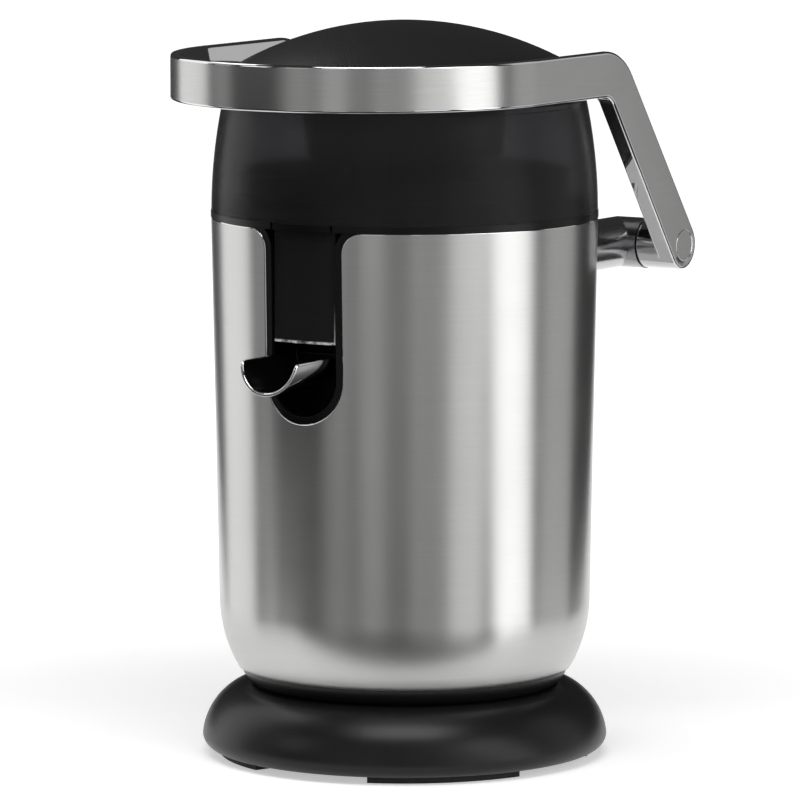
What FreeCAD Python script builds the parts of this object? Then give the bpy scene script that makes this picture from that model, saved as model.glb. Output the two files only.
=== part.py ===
import FreeCAD, Part
import math
import os

V = FreeCAD.Vector
os.makedirs("parts", exist_ok=True)

# Lever-operated citrus press. Millimetres, +Z up, the table is Z = 0.
# -Y is the front, with the spout and the handle. +Y is the rear, with the hinge.
# All pieces are drawn about the axis of the round body. Sizes that belong
# together are worked out from one another, so one change carries through.

# Clearances shared by all fits
FIT = 0.05          # radial play of a shaft in its hole
GAP = 0.3           # small air gap between neighbouring pieces
BIG = 400.0         # longer than the press, for cuts that go right through

# Steel body: heights above the base and radii from its top edge
STEEL_T = 1.0
STEEL_TOP_R = 80.0
STEEL_TAPER = 3.0
STEEL_TUCK = 10.0
STEEL_CURVE_IN = 3.1
STEEL_LIFT = 5.2
STEEL_CURVE_UP = 11.6
STEEL_CURVE_H = 31.3
STEEL_STRAIGHT_H = 158.2
STEEL_WAIST_R = STEEL_TOP_R - STEEL_TAPER
STEEL_CURVE_R = STEEL_WAIST_R - STEEL_CURVE_IN
STEEL_BOTTOM_R = STEEL_WAIST_R - STEEL_TUCK

# Lower collar between the base and the steel
COLLAR_H = 6.5
COLLAR_W = 9.6
COLLAR_PLAY = 0.4
COLLAR_R = STEEL_BOTTOM_R - STEEL_T - COLLAR_PLAY
COLLAR_R_IN = COLLAR_R - COLLAR_W

# Base: a low bell, widest at its belly
FOOT_H = 3.0
FOOT_W = 10.0
FOOT_INSET = 1.0
FOOT_ARC = 49.0
FOOT_COUNT = 4
BASE_WALL = 2.6
BASE_FLARE = 17.7
BASE_UNDERCUT = 3.6
BASE_BELLY_UP = 5.2
BASE_RISE = 21.3
BASE_LEDGE = 0.9
BASE_LIP_IN = 0.9
BASE_LIP_UP = 2.2
BASE_SIDE_IN = 3.0
BASE_SIDE_UP = 9.7
BASE_SHOULDER_IN = 11.7
BASE_SHOULDER_UP = 19.1
BASE_CROWN_OUT = 3.1
BASE_CROWN_DOWN = 0.8
BASE_INNER_EASE = 0.4
BASE_INNER_DROP = 1.2
COVER_T = 2.5
BASE_SCREW_R = 2.0
BASE_SCREW_INSET = 2.0
BASE_SCREW_LEN = 15.0
BASE_SCREW_HEAD_W = 1.6
BASE_SCREW_HEAD_H = 1.8
BASE_BOSS_WALL = 2.5
BASE_SCREW_COUNT = 4
GLAND_R = 5.5
GLAND_BORE_R = 3.2
GLAND_UP = 12.0
GLAND_LEN = 7.2
BASE_TOP_R = COLLAR_R + BASE_LEDGE
BASE_R = BASE_TOP_R + BASE_FLARE
BASE_EDGE_R = BASE_R - BASE_UNDERCUT
BASE_R_Z = FOOT_H + BASE_BELLY_UP
BASE_TOP_Z = BASE_R_Z + BASE_RISE
BASE_SCREW_PCD_R = COLLAR_R_IN + BASE_SCREW_INSET
FOOT_R_OUT = BASE_EDGE_R - BASE_WALL - FOOT_INSET
FOOT_R_IN = FOOT_R_OUT - FOOT_W
GLAND_Z = FOOT_H + GLAND_UP

# Heights of the steel, and the trim ring on its top edge
STEEL_BOTTOM_Z = BASE_TOP_Z + STEEL_LIFT
STEEL_CURVE_Z = STEEL_BOTTOM_Z + STEEL_CURVE_UP
STEEL_WAIST_Z = STEEL_BOTTOM_Z + STEEL_CURVE_H
STEEL_TOP_Z = STEEL_WAIST_Z + STEEL_STRAIGHT_H
TRIM_H = 2.7
TRIM_PROUD = 0.2
TRIM_LEDGE = 6.0

# Window in the steel
WINDOW_HALF_W = 18.2
WINDOW_DEPTH = 78.7
WINDOW_FLARE = 4.5
FRAME_W = 3.0
FRAME_T = 3.0
FRAME_PROUD = 0.25
FRAME_PLAY = 0.15
WINDOW_BOTTOM_Z = STEEL_TOP_Z - WINDOW_DEPTH

# Inner housing
HOUSING_WALL = 2.5
HOUSING_CLEAR = 2.0
HOUSING_FOOT_IN = 3.1
HOUSING_FOOT_H = 3.0
HOUSING_SHOULDER_DROP = 4.0
DECK_T = 3.0
DECK_DROP = 2.2
DECK_CLEAR = 3.5
POST_R = 5.0
POST_PCD_R = 45.0
POST_ANGLES = (30.0, 150.0, 270.0)
HOUSING_R = STEEL_WAIST_R - STEEL_T - HOUSING_CLEAR
HOUSING_FOOT_R = COLLAR_R - HOUSING_FOOT_IN
HOUSING_FOOT_Z = BASE_TOP_Z + COLLAR_H
HOUSING_SHOULDER_Z = STEEL_WAIST_Z - HOUSING_SHOULDER_DROP
DECK_TOP_Z = STEEL_TOP_Z - DECK_DROP
DECK_R = STEEL_TOP_R - STEEL_T - DECK_CLEAR

# Spout bay behind the window
BAY_WALL = 2.0
BAY_DEPTH = 16.0
BAY_SIDE = 0.4
BAY_BACK_Y = -(HOUSING_R - BAY_DEPTH)

# Spout: a thin trough on two stub pins
SPOUT_SIDE = 1.6
SPOUT_WALL = 1.2
SPOUT_REACH = 26.4
SPOUT_REAR_CLEAR = 2.5
SPOUT_RIM_UP = 27.9
SPOUT_PIVOT_IN = 3.5
SPOUT_PIVOT_DROP = 3.4
SPOUT_PIN_R = 2.0
SPOUT_PIN_SHORT = 0.2
SPOUT_LIP_DEG = 12.0
SPOUT_R = WINDOW_HALF_W - FRAME_W - SPOUT_SIDE
SPOUT_TIP_Y = -STEEL_TOP_R - SPOUT_REACH
SPOUT_REAR_Y = BAY_BACK_Y - BAY_WALL - SPOUT_REAR_CLEAR
SPOUT_RIM_Z = WINDOW_BOTTOM_Z + SPOUT_RIM_UP
SPOUT_PIVOT_Y = SPOUT_REAR_Y - SPOUT_PIVOT_IN
SPOUT_PIVOT_Z = SPOUT_RIM_Z - SPOUT_PIVOT_DROP

# Drive shaft, bush, seal
SHAFT_R = 4.0
SHAFT_BELOW_BOX = 3.0
SHAFT_IN_CONE = 22.0
SHAFT_FLANGE_R = 7.0
SHAFT_FLANGE_T = 1.7
BUSH_R = 8.0
BUSH_LEN = 17.0
HUB_WALL = 3.0
SEAL_H = 3.0
BUSH_BOTTOM_Z = DECK_TOP_Z - BUSH_LEN

# Juice collector
BOWL_WALL = 2.4
BOWL_BULGE_IN = 1.0
BOWL_BULGE_UP = 20.1
BOWL_TAPER = 5.0
BOWL_H = 46.1
BOWL_LIP_W = 2.4
BOWL_LIP_H = 2.5
BOWL_FLOOR_UP = 1.1
CHIMNEY_PLAY = 1.0
CHIMNEY_NECK_WALL = 2.6
CHIMNEY_NECK_H = 2.2
CHIMNEY_SHOULDER_W = 2.4
CHIMNEY_H = 6.0
OUTLET_HALF_W = 11.0
OUTLET_LEN = 11.5
OUTLET_INSET = 8.0
TONGUE_T = 1.8
TONGUE_INSET = 1.4
TONGUE_SIDE = 0.6
TONGUE_ABOVE_SPOUT = 5.1
BOWL_FOOT_R = STEEL_TOP_R
BOWL_BULGE_R = BOWL_FOOT_R - BOWL_BULGE_IN
BOWL_RIM_R = BOWL_FOOT_R - BOWL_TAPER
BOWL_FOOT_Z = STEEL_TOP_Z + TRIM_H
BOWL_FLOOR_Z = BOWL_FOOT_Z + BOWL_FLOOR_UP
BOWL_BULGE_Z = BOWL_FOOT_Z + BOWL_BULGE_UP
BOWL_RIM_Z = BOWL_FOOT_Z + BOWL_H
CHIMNEY_BORE_R = BUSH_R + CHIMNEY_PLAY
CHIMNEY_NECK_R = CHIMNEY_BORE_R + CHIMNEY_NECK_WALL
CHIMNEY_R = CHIMNEY_NECK_R + CHIMNEY_SHOULDER_W
CHIMNEY_SHOULDER_Z = BOWL_FLOOR_Z + CHIMNEY_H
OUTLET_NEAR_Y = -(BOWL_FOOT_R - OUTLET_INSET)
OUTLET_FAR_Y = OUTLET_NEAR_Y + OUTLET_LEN
TONGUE_R = STEEL_TOP_R - STEEL_T - TONGUE_INSET
TONGUE_HALF_W = WINDOW_HALF_W - FRAME_W - TONGUE_SIDE
TONGUE_BOTTOM_Z = SPOUT_RIM_Z + TONGUE_ABOVE_SPOUT

# Strainer and cone
STRAINER_INSET = 12.0
STRAINER_T = 2.0
STRAINER_RIM_H = 10.0
STRAINER_RIM_W = 2.0
STRAINER_PLAY = 0.4
SLOT_COUNT = 30
SLOT_W = 2.4
SLOT_MARGIN = 6.0
SLOT_FROM_CONE = 7.0
CONE_R = 27.0
CONE_H = 39.0
CONE_TIP_R = 2.0
CONE_WAIST = 0.66
CONE_WAIST_UP = 0.55
CONE_CLEAR = 4.0
CONE_RIB_COUNT = 10
CONE_RIB_H = 3.0
CONE_RIB_W = 3.2
CONE_RIB_ROOT = 6.0
CONE_RIB_CREST_W = 0.8
PRESS_TRAVEL = 2.5
STRAINER_R = BOWL_FOOT_R - STRAINER_INSET
STRAINER_HOLE_R = CHIMNEY_NECK_R + STRAINER_PLAY
SLOT_R_IN = CONE_R + SLOT_FROM_CONE
SLOT_R_OUT = STRAINER_R - SLOT_MARGIN
CONE_BOTTOM_Z = CHIMNEY_SHOULDER_Z + STRAINER_T + CONE_CLEAR
CONE_TIP_Z = CONE_BOTTOM_Z + CONE_H
SHAFT_TOP_Z = CONE_BOTTOM_Z + SHAFT_IN_CONE

# Gears
GEAR_MODULE_OUT = 1.25
GEAR_TEETH_OUT = 40
GEAR_TEETH_SMALL = 12
GEAR_MODULE_IN = 1.0
GEAR_TEETH_LARGE = 44
GEAR_TEETH_PINION = 11
GEAR_OUT_T = 10.0
GEAR_IN_T = 8.0
GEAR_IN_UP = 5.5
GEAR_BETWEEN = 4.5
GEAR_SMALL_OVER = 0.5
GEAR_BACKLASH = 0.3
GEAR_ADDENDUM = 0.9
GEAR_HUB_R = 6.5
GEAR_HUB_RISE = 3.0
GEAR_HUB_FLOOR = 1.0
IDLER_PIN_R = 3.0
IDLER_NECK_WALL = 2.5
MOTOR_BEARING = math.radians(-150.0)

# Gearbox, sized round the gears
BOX_WALL = 3.0
BOX_DROP = 72.0
BOX_CLEAR = 3.6
BOX_HEADROOM = 8.0
BOX_COVER_T = 3.0
BOX_FRONT_CLEAR = 2.5
BOX_SCREW_R = 1.5
BOX_SCREW_INSET = 6.0
BOX_SCREW_LEN = 14.0
BOX_SCREW_HEAD_W = 1.4
BOX_SCREW_HEAD_H = 2.0
BOX_SCREW_ANGLES = (18.0, 162.0, 220.0, 320.0)
BOX_BOSS_R = 4.0
BOX_HUB_WALL = 1.9
IDLER_Y = GEAR_MODULE_OUT * (GEAR_TEETH_OUT + GEAR_TEETH_SMALL) / 2.0
LARGE_TIP_R = GEAR_MODULE_IN * (GEAR_TEETH_LARGE / 2.0 + GEAR_ADDENDUM)
BOX_R = IDLER_Y + LARGE_TIP_R + BOX_CLEAR + BOX_WALL
BOX_FLOOR_Z = DECK_TOP_Z - BOX_DROP
GEAR_IN_Z = BOX_FLOOR_Z + GEAR_IN_UP
GEAR_OUT_Z = GEAR_IN_Z + GEAR_IN_T + GEAR_BETWEEN
BOX_TOP_Z = GEAR_OUT_Z + GEAR_OUT_T + BOX_HEADROOM
BOX_FRONT_Y = BAY_BACK_Y + BOX_FRONT_CLEAR
BOX_SCREW_PCD_R = BOX_R - BOX_WALL - BOX_SCREW_INSET
GEAR_HUB_TOP_Z = BOX_TOP_Z + BOX_COVER_T + GEAR_HUB_RISE
SHAFT_BOTTOM_Z = BOX_FLOOR_Z - SHAFT_BELOW_BOX

# Return spring between the gear hub and the shaft's flange
SPRING_R = 5.8
SPRING_WIRE_R = 0.5

# Motor
MOTOR_R = 24.0
MOTOR_WALL = 2.0
MOTOR_LEN = 62.0
MOTOR_END_T = 3.0
MOTOR_SHAFT_R = 2.5
MOTOR_SHAFT_PLAY = 1.3
MOTOR_SHAFT_LIFT = 0.5
MOTOR_BUSH_R = 6.0
MOTOR_BUSH_LEN = 6.0
ROTOR_END = 12.0
ROTOR_AIR = 2.1
MAGNET_T = 3.6
MAGNET_ARC = 130.0
MOTOR_SCREW_R = 1.5
MOTOR_SCREW_DEPTH = 5.0
MOTOR_SCREW_HEAD_W = 1.2
MOTOR_SCREW_HEAD_H = 1.6
MOTOR_SCREW_PCD_R = 16.0
MAGNET_R = MOTOR_R - MOTOR_WALL - GAP
ROTOR_R = MAGNET_R - MAGNET_T - ROTOR_AIR
MOTOR_BOTTOM_Z = BOX_FLOOR_Z - MOTOR_LEN
ROTOR_BOTTOM_Z = MOTOR_BOTTOM_Z + ROTOR_END
ROTOR_TOP_Z = BOX_FLOOR_Z - ROTOR_END

# Switch under the shaft
SWITCH_BELOW_SHAFT = 8.0
SWITCH_H = 12.0
SWITCH_X = (-4.0, 16.0)
SWITCH_Y = (-8.0, 4.0)
SWITCH_BRACKET_T = 2.0
PLUNGER_R = 2.0
PLUNGER_DEPTH = 6.0
SWITCH_TOP_Z = SHAFT_BOTTOM_Z - SWITCH_BELOW_SHAFT

# Press head
DOME_SPHERE_R = 141.0
DOME_RISE = 32.0
DOME_SETBACK = 2.2
DOME_WALL = 2.5
PAD_HALF_W = 12.0
PAD_H = 8.5
PAD_OVER_FLANGE = 1.0
PAD_SINK = 1.5
DOME_SCREW_R = 1.5
DOME_SCREW_HEAD_W = 0.8
DOME_SCREW_HEAD_H = 1.6
DOME_SCREW_DEPTH = 4.5
DOME_SCREW_Y = 6.0
DOME_SCREW_UP = 8.3
CUP_FLANGE_UP = 2.5
CUP_FLANGE_T = 2.2
CUP_FLANGE_PLAY = 0.6
CUP_DEPTH = 23.0
CUP_RISE = 14.0
CUP_RIM_R = 37.5
CUP_WALL = 2.6
CUP_FLAT_R = 8.0
CUP_MID_R = 30.0
CUP_SKIRT = 3.0
DOME_TOP_Z = BOWL_RIM_Z + DOME_RISE
DOME_R = BOWL_RIM_R - DOME_SETBACK
DOME_SKIRT_Z = BOWL_RIM_Z + GAP
DOME_SCREW_Z = BOWL_RIM_Z + DOME_SCREW_UP
CUP_FLANGE_R = DOME_R - DOME_WALL - CUP_FLANGE_PLAY
CUP_FLANGE_Z = BOWL_RIM_Z + CUP_FLANGE_UP
CUP_RIM_Z = BOWL_RIM_Z - CUP_DEPTH
CUP_TOP_Z = BOWL_RIM_Z + CUP_RISE
CUP_MID_Z = BOWL_RIM_Z
PAD_TOP_Z = CUP_FLANGE_Z + PAD_H

# Lever: a band bent into a half ring with two arms that slope to the hinge
BAND_T = 7.7
BAND_H = 19.0
BAND_LIFT = 1.4
BAND_ROUND = 1.2
HANDLE_REACH = 28.3
HINGE_REACH = 11.9
HINGE_DROP = 15.9
ARM_W = 20.4
ARM_SLOPE = math.radians(36.6)
ELBOW_R = 18.0
PIVOT_COLLAR_LEN = 9.8
PIN_R = 4.0
PIN_IN_LUG = 3.0
PIVOT_BUSH_WALL = 1.5
PIN_CAP_R = 6.5
PIN_CAP_DEPTH = 1.2
PIN_CAP_PROUD = 0.1
PIN_CAP_GROOVE = 0.3
BAND_BOTTOM_Z = BOWL_RIM_Z + BAND_LIFT
YOKE_INNER_X = DOME_R + GAP
YOKE_R = YOKE_INNER_X + BAND_T
YOKE_CENTRE_Y = -HANDLE_REACH
PIVOT_Y = STEEL_TOP_R + HINGE_REACH
PIVOT_Z = STEEL_TOP_Z - HINGE_DROP
PIVOT_COLLAR_X = YOKE_INNER_X - PIVOT_COLLAR_LEN
PIVOT_BUSH_R = PIN_R + PIVOT_BUSH_WALL
CAP_SEAT_X = YOKE_R - PIN_CAP_DEPTH

# Hinge lugs
LUG_R = 10.6
LUG_BOSS_LEN = 14.3
LUG_SEAM_GAP = 0.4
LUG_INNER_Y = 36.0
PLATE_T = 3.0
PLATE_MARGIN = 0.4
PLATE_DROP = 11.3
LUG_BOLT_R = 3.0
LUG_BOLT_LEN = 16.0
LUG_BOLT_HEAD_R = 5.0
LUG_BOLT_HEAD_H = 3.5
LUG_X = PIVOT_COLLAR_X - LUG_BOSS_LEN
PIN_INNER_X = LUG_X + PIN_IN_LUG
PLATE_HALF_W = LUG_X + LUG_R + PLATE_MARGIN
PLATE_BOTTOM_Z = PIVOT_Z - PLATE_DROP

# The origin lies under the middle of the whole outline, from the front of the
# handle to the rear of the lugs, so the body's axis stands a little behind it.
AXIS_Y = (YOKE_R - YOKE_CENTRE_Y - PIVOT_Y - LUG_R) / 2.0


def save(name, shape):
    shape.translate(V(0, AXIS_Y, 0))
    shape.exportStep("parts/%s.step" % name)


def cylinder(radius, bottom, top, x=0.0, y=0.0):
    return Part.makeCylinder(radius, top - bottom, V(x, y, bottom))


def drill(radius, x=0.0, y=0.0):
    """Upright bore that goes through everything."""
    return cylinder(radius, -BIG, BIG, x, y)


def cross_drill(radius, y, z):
    """Level bore along X that goes through everything."""
    return rod(radius, (-BIG, y, z), (BIG, y, z))


def tube(outer, inner, bottom, top, x=0.0, y=0.0):
    return cylinder(outer, bottom, top, x, y).cut(cylinder(inner, bottom - 1, top + 1, x, y))


def rod(radius, start, end):
    line = V(*end) - V(*start)
    return Part.makeCylinder(radius, line.Length, V(*start), line)


def box(x0, x1, y0, y1, z0, z1):
    return Part.makeBox(x1 - x0, y1 - y0, z1 - z0, V(x0, y0, z0))


def rz(radius, z):
    return V(radius, 0, z)


def arc(start, middle, end):
    return Part.Arc(start, middle, end).toShape()


def line(start, end):
    return Part.makeLine(start, end)


def revolve(edges):
    face = Part.Face(Part.Wire(Part.__sortEdges__(edges)))
    return face.revolve(V(0, 0, 0), V(0, 0, 1), 360)


def revolve_points(points):
    corners = [rz(*p) for p in points]
    wire = Part.makePolygon(corners + corners[:1])
    return Part.Face(wire).revolve(V(0, 0, 0), V(0, 0, 1), 360)


def mirror_x(shape):
    return shape.mirror(V(0, 0, 0), V(1, 0, 0))


def polar(radius, angle_deg):
    a = math.radians(angle_deg)
    return radius * math.cos(a), radius * math.sin(a)


def arch_face(half_w, bottom, top, y):
    """Upright face with a half-round lower end, in the plane Y = y."""
    low = bottom + half_w
    edges = [
        line(V(-half_w, y, top), V(-half_w, y, low)),
        arc(V(-half_w, y, low), V(0, y, bottom), V(half_w, y, low)),
        line(V(half_w, y, low), V(half_w, y, top)),
        line(V(half_w, y, top), V(-half_w, y, top)),
    ]
    return Part.Face(Part.Wire(edges))


def arch(half_w, bottom, top, y_front, y_back):
    return arch_face(half_w, bottom, top, y_front).extrude(V(0, y_back - y_front, 0))


def flare(side, half_w, size, top, y_front, y_back):
    """Rounded corner that widens the top of the window on one side."""
    near = side * half_w
    far = side * (half_w + size)
    low = top - size
    k = size * (1 - math.sqrt(0.5))
    edges = [
        line(V(near, y_front, low), V(near, y_front, top)),
        line(V(near, y_front, top), V(far, y_front, top)),
        arc(V(far, y_front, top), V(near + side * k, y_front, top - k), V(near, y_front, low)),
    ]
    return Part.Face(Part.Wire(edges)).extrude(V(0, y_back - y_front, 0))


def window_cutter(half_w, bottom, top, y_front, y_back):
    cutter = arch(half_w, bottom, top, y_front, y_back)
    for side in (-1, 1):
        cutter = cutter.fuse(flare(side, half_w, WINDOW_FLARE, top, y_front, y_back))
    return cutter


def base_shell():
    w = BASE_WALL
    lip = rz(BASE_R - BASE_LIP_IN, FOOT_H + BASE_LIP_UP)
    belly = rz(BASE_R, BASE_R_Z)
    side = rz(BASE_R - BASE_SIDE_IN, BASE_R_Z + BASE_SIDE_UP)
    shoulder = rz(BASE_R - BASE_SHOULDER_IN, BASE_R_Z + BASE_SHOULDER_UP)
    crown = rz(BASE_TOP_R + BASE_CROWN_OUT, BASE_TOP_Z - BASE_CROWN_DOWN)
    top = rz(BASE_TOP_R, BASE_TOP_Z)
    edge = rz(BASE_EDGE_R, FOOT_H)
    inner_top = rz(BASE_TOP_R, BASE_TOP_Z - w)
    inner_shoulder = rz(shoulder.x - w, shoulder.z - w)
    inner_side = rz(side.x - w, side.z - BASE_INNER_DROP)
    inner_belly = rz(BASE_R - w - BASE_INNER_EASE, BASE_R_Z)
    seat = rz(BASE_EDGE_R - w, FOOT_H + COVER_T)
    hole_top = rz(COLLAR_R_IN, BASE_TOP_Z)
    hole_low = rz(COLLAR_R_IN, BASE_TOP_Z - w)
    inner_edge = rz(BASE_EDGE_R - w, FOOT_H)
    shell = revolve([
        arc(edge, lip, belly), arc(belly, side, shoulder), arc(shoulder, crown, top),
        line(top, hole_top), line(hole_top, hole_low), line(hole_low, inner_top),
        line(inner_top, inner_shoulder), arc(inner_shoulder, inner_side, inner_belly),
        line(inner_belly, seat), line(seat, inner_edge), line(inner_edge, edge),
    ])
    for x, y in base_screw_places():
        boss = cylinder(BASE_SCREW_R + BASE_BOSS_WALL, FOOT_H + COVER_T, BASE_TOP_Z - w, x, y)
        hole = cylinder(BASE_SCREW_R + FIT, FOOT_H, FOOT_H + BASE_SCREW_LEN + GAP, x, y)
        shell = shell.fuse(boss).cut(hole)
    gland_start = BASE_R - GLAND_LEN - 2 * GAP
    return shell.cut(rod(GLAND_R + FIT, (0, gland_start, GLAND_Z), (0, BIG, GLAND_Z)))


def base_screw_places():
    return [polar(BASE_SCREW_PCD_R, 360.0 / BASE_SCREW_COUNT * k) for k in range(BASE_SCREW_COUNT)]


def base_cover():
    cover = cylinder(BASE_EDGE_R - BASE_WALL - GAP, FOOT_H, FOOT_H + COVER_T)
    for x, y in base_screw_places():
        cover = cover.cut(drill(BASE_SCREW_R + FIT, x, y))
    return cover


def base_screws():
    screws = []
    for x, y in base_screw_places():
        head = cylinder(BASE_SCREW_R + BASE_SCREW_HEAD_W, FOOT_H - BASE_SCREW_HEAD_H, FOOT_H, x, y)
        screws.append(head.fuse(cylinder(BASE_SCREW_R, FOOT_H, FOOT_H + BASE_SCREW_LEN, x, y)))
    return Part.makeCompound(screws)


def rubber_feet():
    profile = Part.makePolygon([rz(FOOT_R_IN, 0), rz(FOOT_R_OUT, 0), rz(FOOT_R_OUT, FOOT_H),
                                rz(FOOT_R_IN, FOOT_H), rz(FOOT_R_IN, 0)])
    step = 360.0 / FOOT_COUNT
    feet = []
    for k in range(FOOT_COUNT):
        foot = Part.Face(profile).revolve(V(0, 0, 0), V(0, 0, 1), FOOT_ARC)
        foot.rotate(V(0, 0, 0), V(0, 0, 1), step * (k + 0.5) - FOOT_ARC / 2)
        feet.append(foot)
    return Part.makeCompound(feet)


def cord_gland():
    face = BASE_R - GAP
    body = rod(GLAND_R, (0, face - GLAND_LEN, GLAND_Z), (0, face, GLAND_Z))
    return body.cut(rod(GLAND_BORE_R, (0, 0, GLAND_Z), (0, BIG, GLAND_Z)))


def lower_collar():
    return tube(COLLAR_R, COLLAR_R_IN, BASE_TOP_Z, BASE_TOP_Z + COLLAR_H)


def body_shell():
    t = STEEL_T
    bottom = rz(STEEL_BOTTOM_R, STEEL_BOTTOM_Z)
    curve = rz(STEEL_CURVE_R, STEEL_CURVE_Z)
    waist = rz(STEEL_WAIST_R, STEEL_WAIST_Z)
    top = rz(STEEL_TOP_R, STEEL_TOP_Z)
    inward = V(t, 0, 0)
    shell = revolve([
        arc(bottom, curve, waist), line(waist, top), line(top, top - inward),
        line(top - inward, waist - inward), arc(waist - inward, curve - inward, bottom - inward),
        line(bottom - inward, bottom),
    ])
    shell = shell.cut(window_cutter(WINDOW_HALF_W, WINDOW_BOTTOM_Z, STEEL_TOP_Z + FIT, -BIG, BAY_BACK_Y))
    for side in (-1, 1):
        x = side * LUG_X
        shell = shell.cut(rod(LUG_R + GAP, (x, 0, PIVOT_Z), (x, BIG, PIVOT_Z)))
    return shell


def top_trim_ring():
    outer = STEEL_TOP_R + TRIM_PROUD
    inner = STEEL_TOP_R - STEEL_T - GAP
    ledge = DECK_R - TRIM_LEDGE
    under = DECK_TOP_Z - DECK_T
    band_top = STEEL_TOP_Z + TRIM_H
    ring = revolve_points([
        (DECK_R + GAP, under), (inner, under), (inner, STEEL_TOP_Z), (outer, STEEL_TOP_Z),
        (outer, band_top), (ledge, band_top), (ledge, DECK_TOP_Z), (DECK_R + GAP, DECK_TOP_Z)])
    gate = box(-WINDOW_HALF_W, WINDOW_HALF_W, -BIG, BAY_BACK_Y, under - DECK_T, STEEL_TOP_Z)
    half = TONGUE_HALF_W + GAP
    slot = box(-half, half, -TONGUE_R - TONGUE_INSET, BAY_BACK_Y, under - DECK_T, band_top + DECK_T)
    return ring.cut(gate).cut(slot)


def window_frame():
    """Black lining of the window, following the round of the steel."""
    inner_half = WINDOW_HALF_W - FRAME_W
    outer_half = WINDOW_HALF_W - FRAME_PLAY
    wide = arch(outer_half, WINDOW_BOTTOM_Z + FRAME_PLAY, STEEL_TOP_Z - GAP, -BIG, BAY_BACK_Y)
    narrow = arch(inner_half, WINDOW_BOTTOM_Z + FRAME_W, STEEL_TOP_Z + BIG, -2 * BIG, 0)
    height = STEEL_TOP_Z - STEEL_WAIST_Z
    foot = V(0, 0, STEEL_WAIST_Z)
    outer_cone = Part.makeCone(STEEL_WAIST_R + FRAME_PROUD, STEEL_TOP_R + FRAME_PROUD, height, foot)
    inner_cone = Part.makeCone(STEEL_WAIST_R - FRAME_T, STEEL_TOP_R - FRAME_T, height, foot)
    return wide.cut(narrow).common(outer_cone.cut(inner_cone))


def bay_half_w():
    return WINDOW_HALF_W - FRAME_W + BAY_SIDE


def bay_bottom_z():
    return WINDOW_BOTTOM_Z + FRAME_W


def spout_bay():
    """Wet tray behind the window: an arch-shaped pocket with a closed back."""
    half = bay_half_w()
    outer = arch(half + BAY_WALL, bay_bottom_z() - BAY_WALL, DECK_TOP_Z - DECK_T, -BIG, BAY_BACK_Y)
    inner = arch(half, bay_bottom_z(), BIG, -2 * BIG, BAY_BACK_Y - BAY_WALL)
    tray = outer.cut(inner)
    pin_hole = cross_drill(SPOUT_PIN_R + FIT, SPOUT_PIVOT_Y, SPOUT_PIVOT_Z)
    return tray.cut(pin_hole).common(drill(HOUSING_R))


def inner_housing():
    w = HOUSING_WALL
    under = DECK_TOP_Z - DECK_T
    shell = revolve_points([
        (0, DECK_TOP_Z), (DECK_R, DECK_TOP_Z), (DECK_R, under), (HOUSING_R, under),
        (HOUSING_R, HOUSING_SHOULDER_Z), (HOUSING_FOOT_R, HOUSING_FOOT_Z + HOUSING_FOOT_H),
        (HOUSING_FOOT_R, HOUSING_FOOT_Z),
        (HOUSING_FOOT_R - w, HOUSING_FOOT_Z), (HOUSING_FOOT_R - w, HOUSING_FOOT_Z + HOUSING_FOOT_H + w / 2),
        (HOUSING_R - w, HOUSING_SHOULDER_Z + w / 2), (HOUSING_R - w, under), (0, under)])
    shell = shell.fuse(cylinder(BUSH_R + FIT + HUB_WALL, BUSH_BOTTOM_Z, under + DECK_T / 2))
    for angle in POST_ANGLES:
        x, y = polar(POST_PCD_R, angle)
        shell = shell.fuse(cylinder(POST_R, BOX_TOP_Z + BOX_COVER_T, under + DECK_T / 2, x, y))
    half = bay_half_w() + BAY_WALL + GAP
    shell = shell.cut(arch(half, bay_bottom_z() - BAY_WALL - GAP, BIG, -BIG, BAY_BACK_Y + GAP))
    for side in (-1, 1):
        x = side * LUG_X
        shell = shell.cut(rod(LUG_R + GAP, (x, LUG_INNER_Y, PIVOT_Z), (x, BIG, PIVOT_Z)))
    return shell.cut(cylinder(BUSH_R + FIT, 0, BIG))


def spout():
    """Half-round pouring trough with a closed rear end and a raked lip."""
    y0, y1 = SPOUT_TIP_Y, SPOUT_REAR_Y
    outer = rod(SPOUT_R, (0, y0, SPOUT_RIM_Z), (0, y1, SPOUT_RIM_Z))
    inner = rod(SPOUT_R - SPOUT_WALL, (0, -BIG, SPOUT_RIM_Z), (0, y1 - SPOUT_WALL, SPOUT_RIM_Z))
    above = box(-BIG, BIG, -BIG, BIG, SPOUT_RIM_Z, BIG)
    front = box(-BIG, BIG, y0 - BIG, y0, -BIG, BIG)
    front.rotate(V(0, y0, SPOUT_RIM_Z - SPOUT_R), V(1, 0, 0), -SPOUT_LIP_DEG)
    pin_hole = cross_drill(SPOUT_PIN_R + FIT, SPOUT_PIVOT_Y, SPOUT_PIVOT_Z)
    return outer.cut(inner).cut(above).cut(front).cut(pin_hole)


def spout_pins():
    """Two stub pins, one in each side wall of the bay, so the trough stays clear."""
    end = bay_half_w() + BAY_WALL - SPOUT_PIN_SHORT
    start = SPOUT_R - SPOUT_WALL
    pin = rod(SPOUT_PIN_R, (start, SPOUT_PIVOT_Y, SPOUT_PIVOT_Z), (end, SPOUT_PIVOT_Y, SPOUT_PIVOT_Z))
    return Part.makeCompound([pin, mirror_x(pin)])


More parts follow.
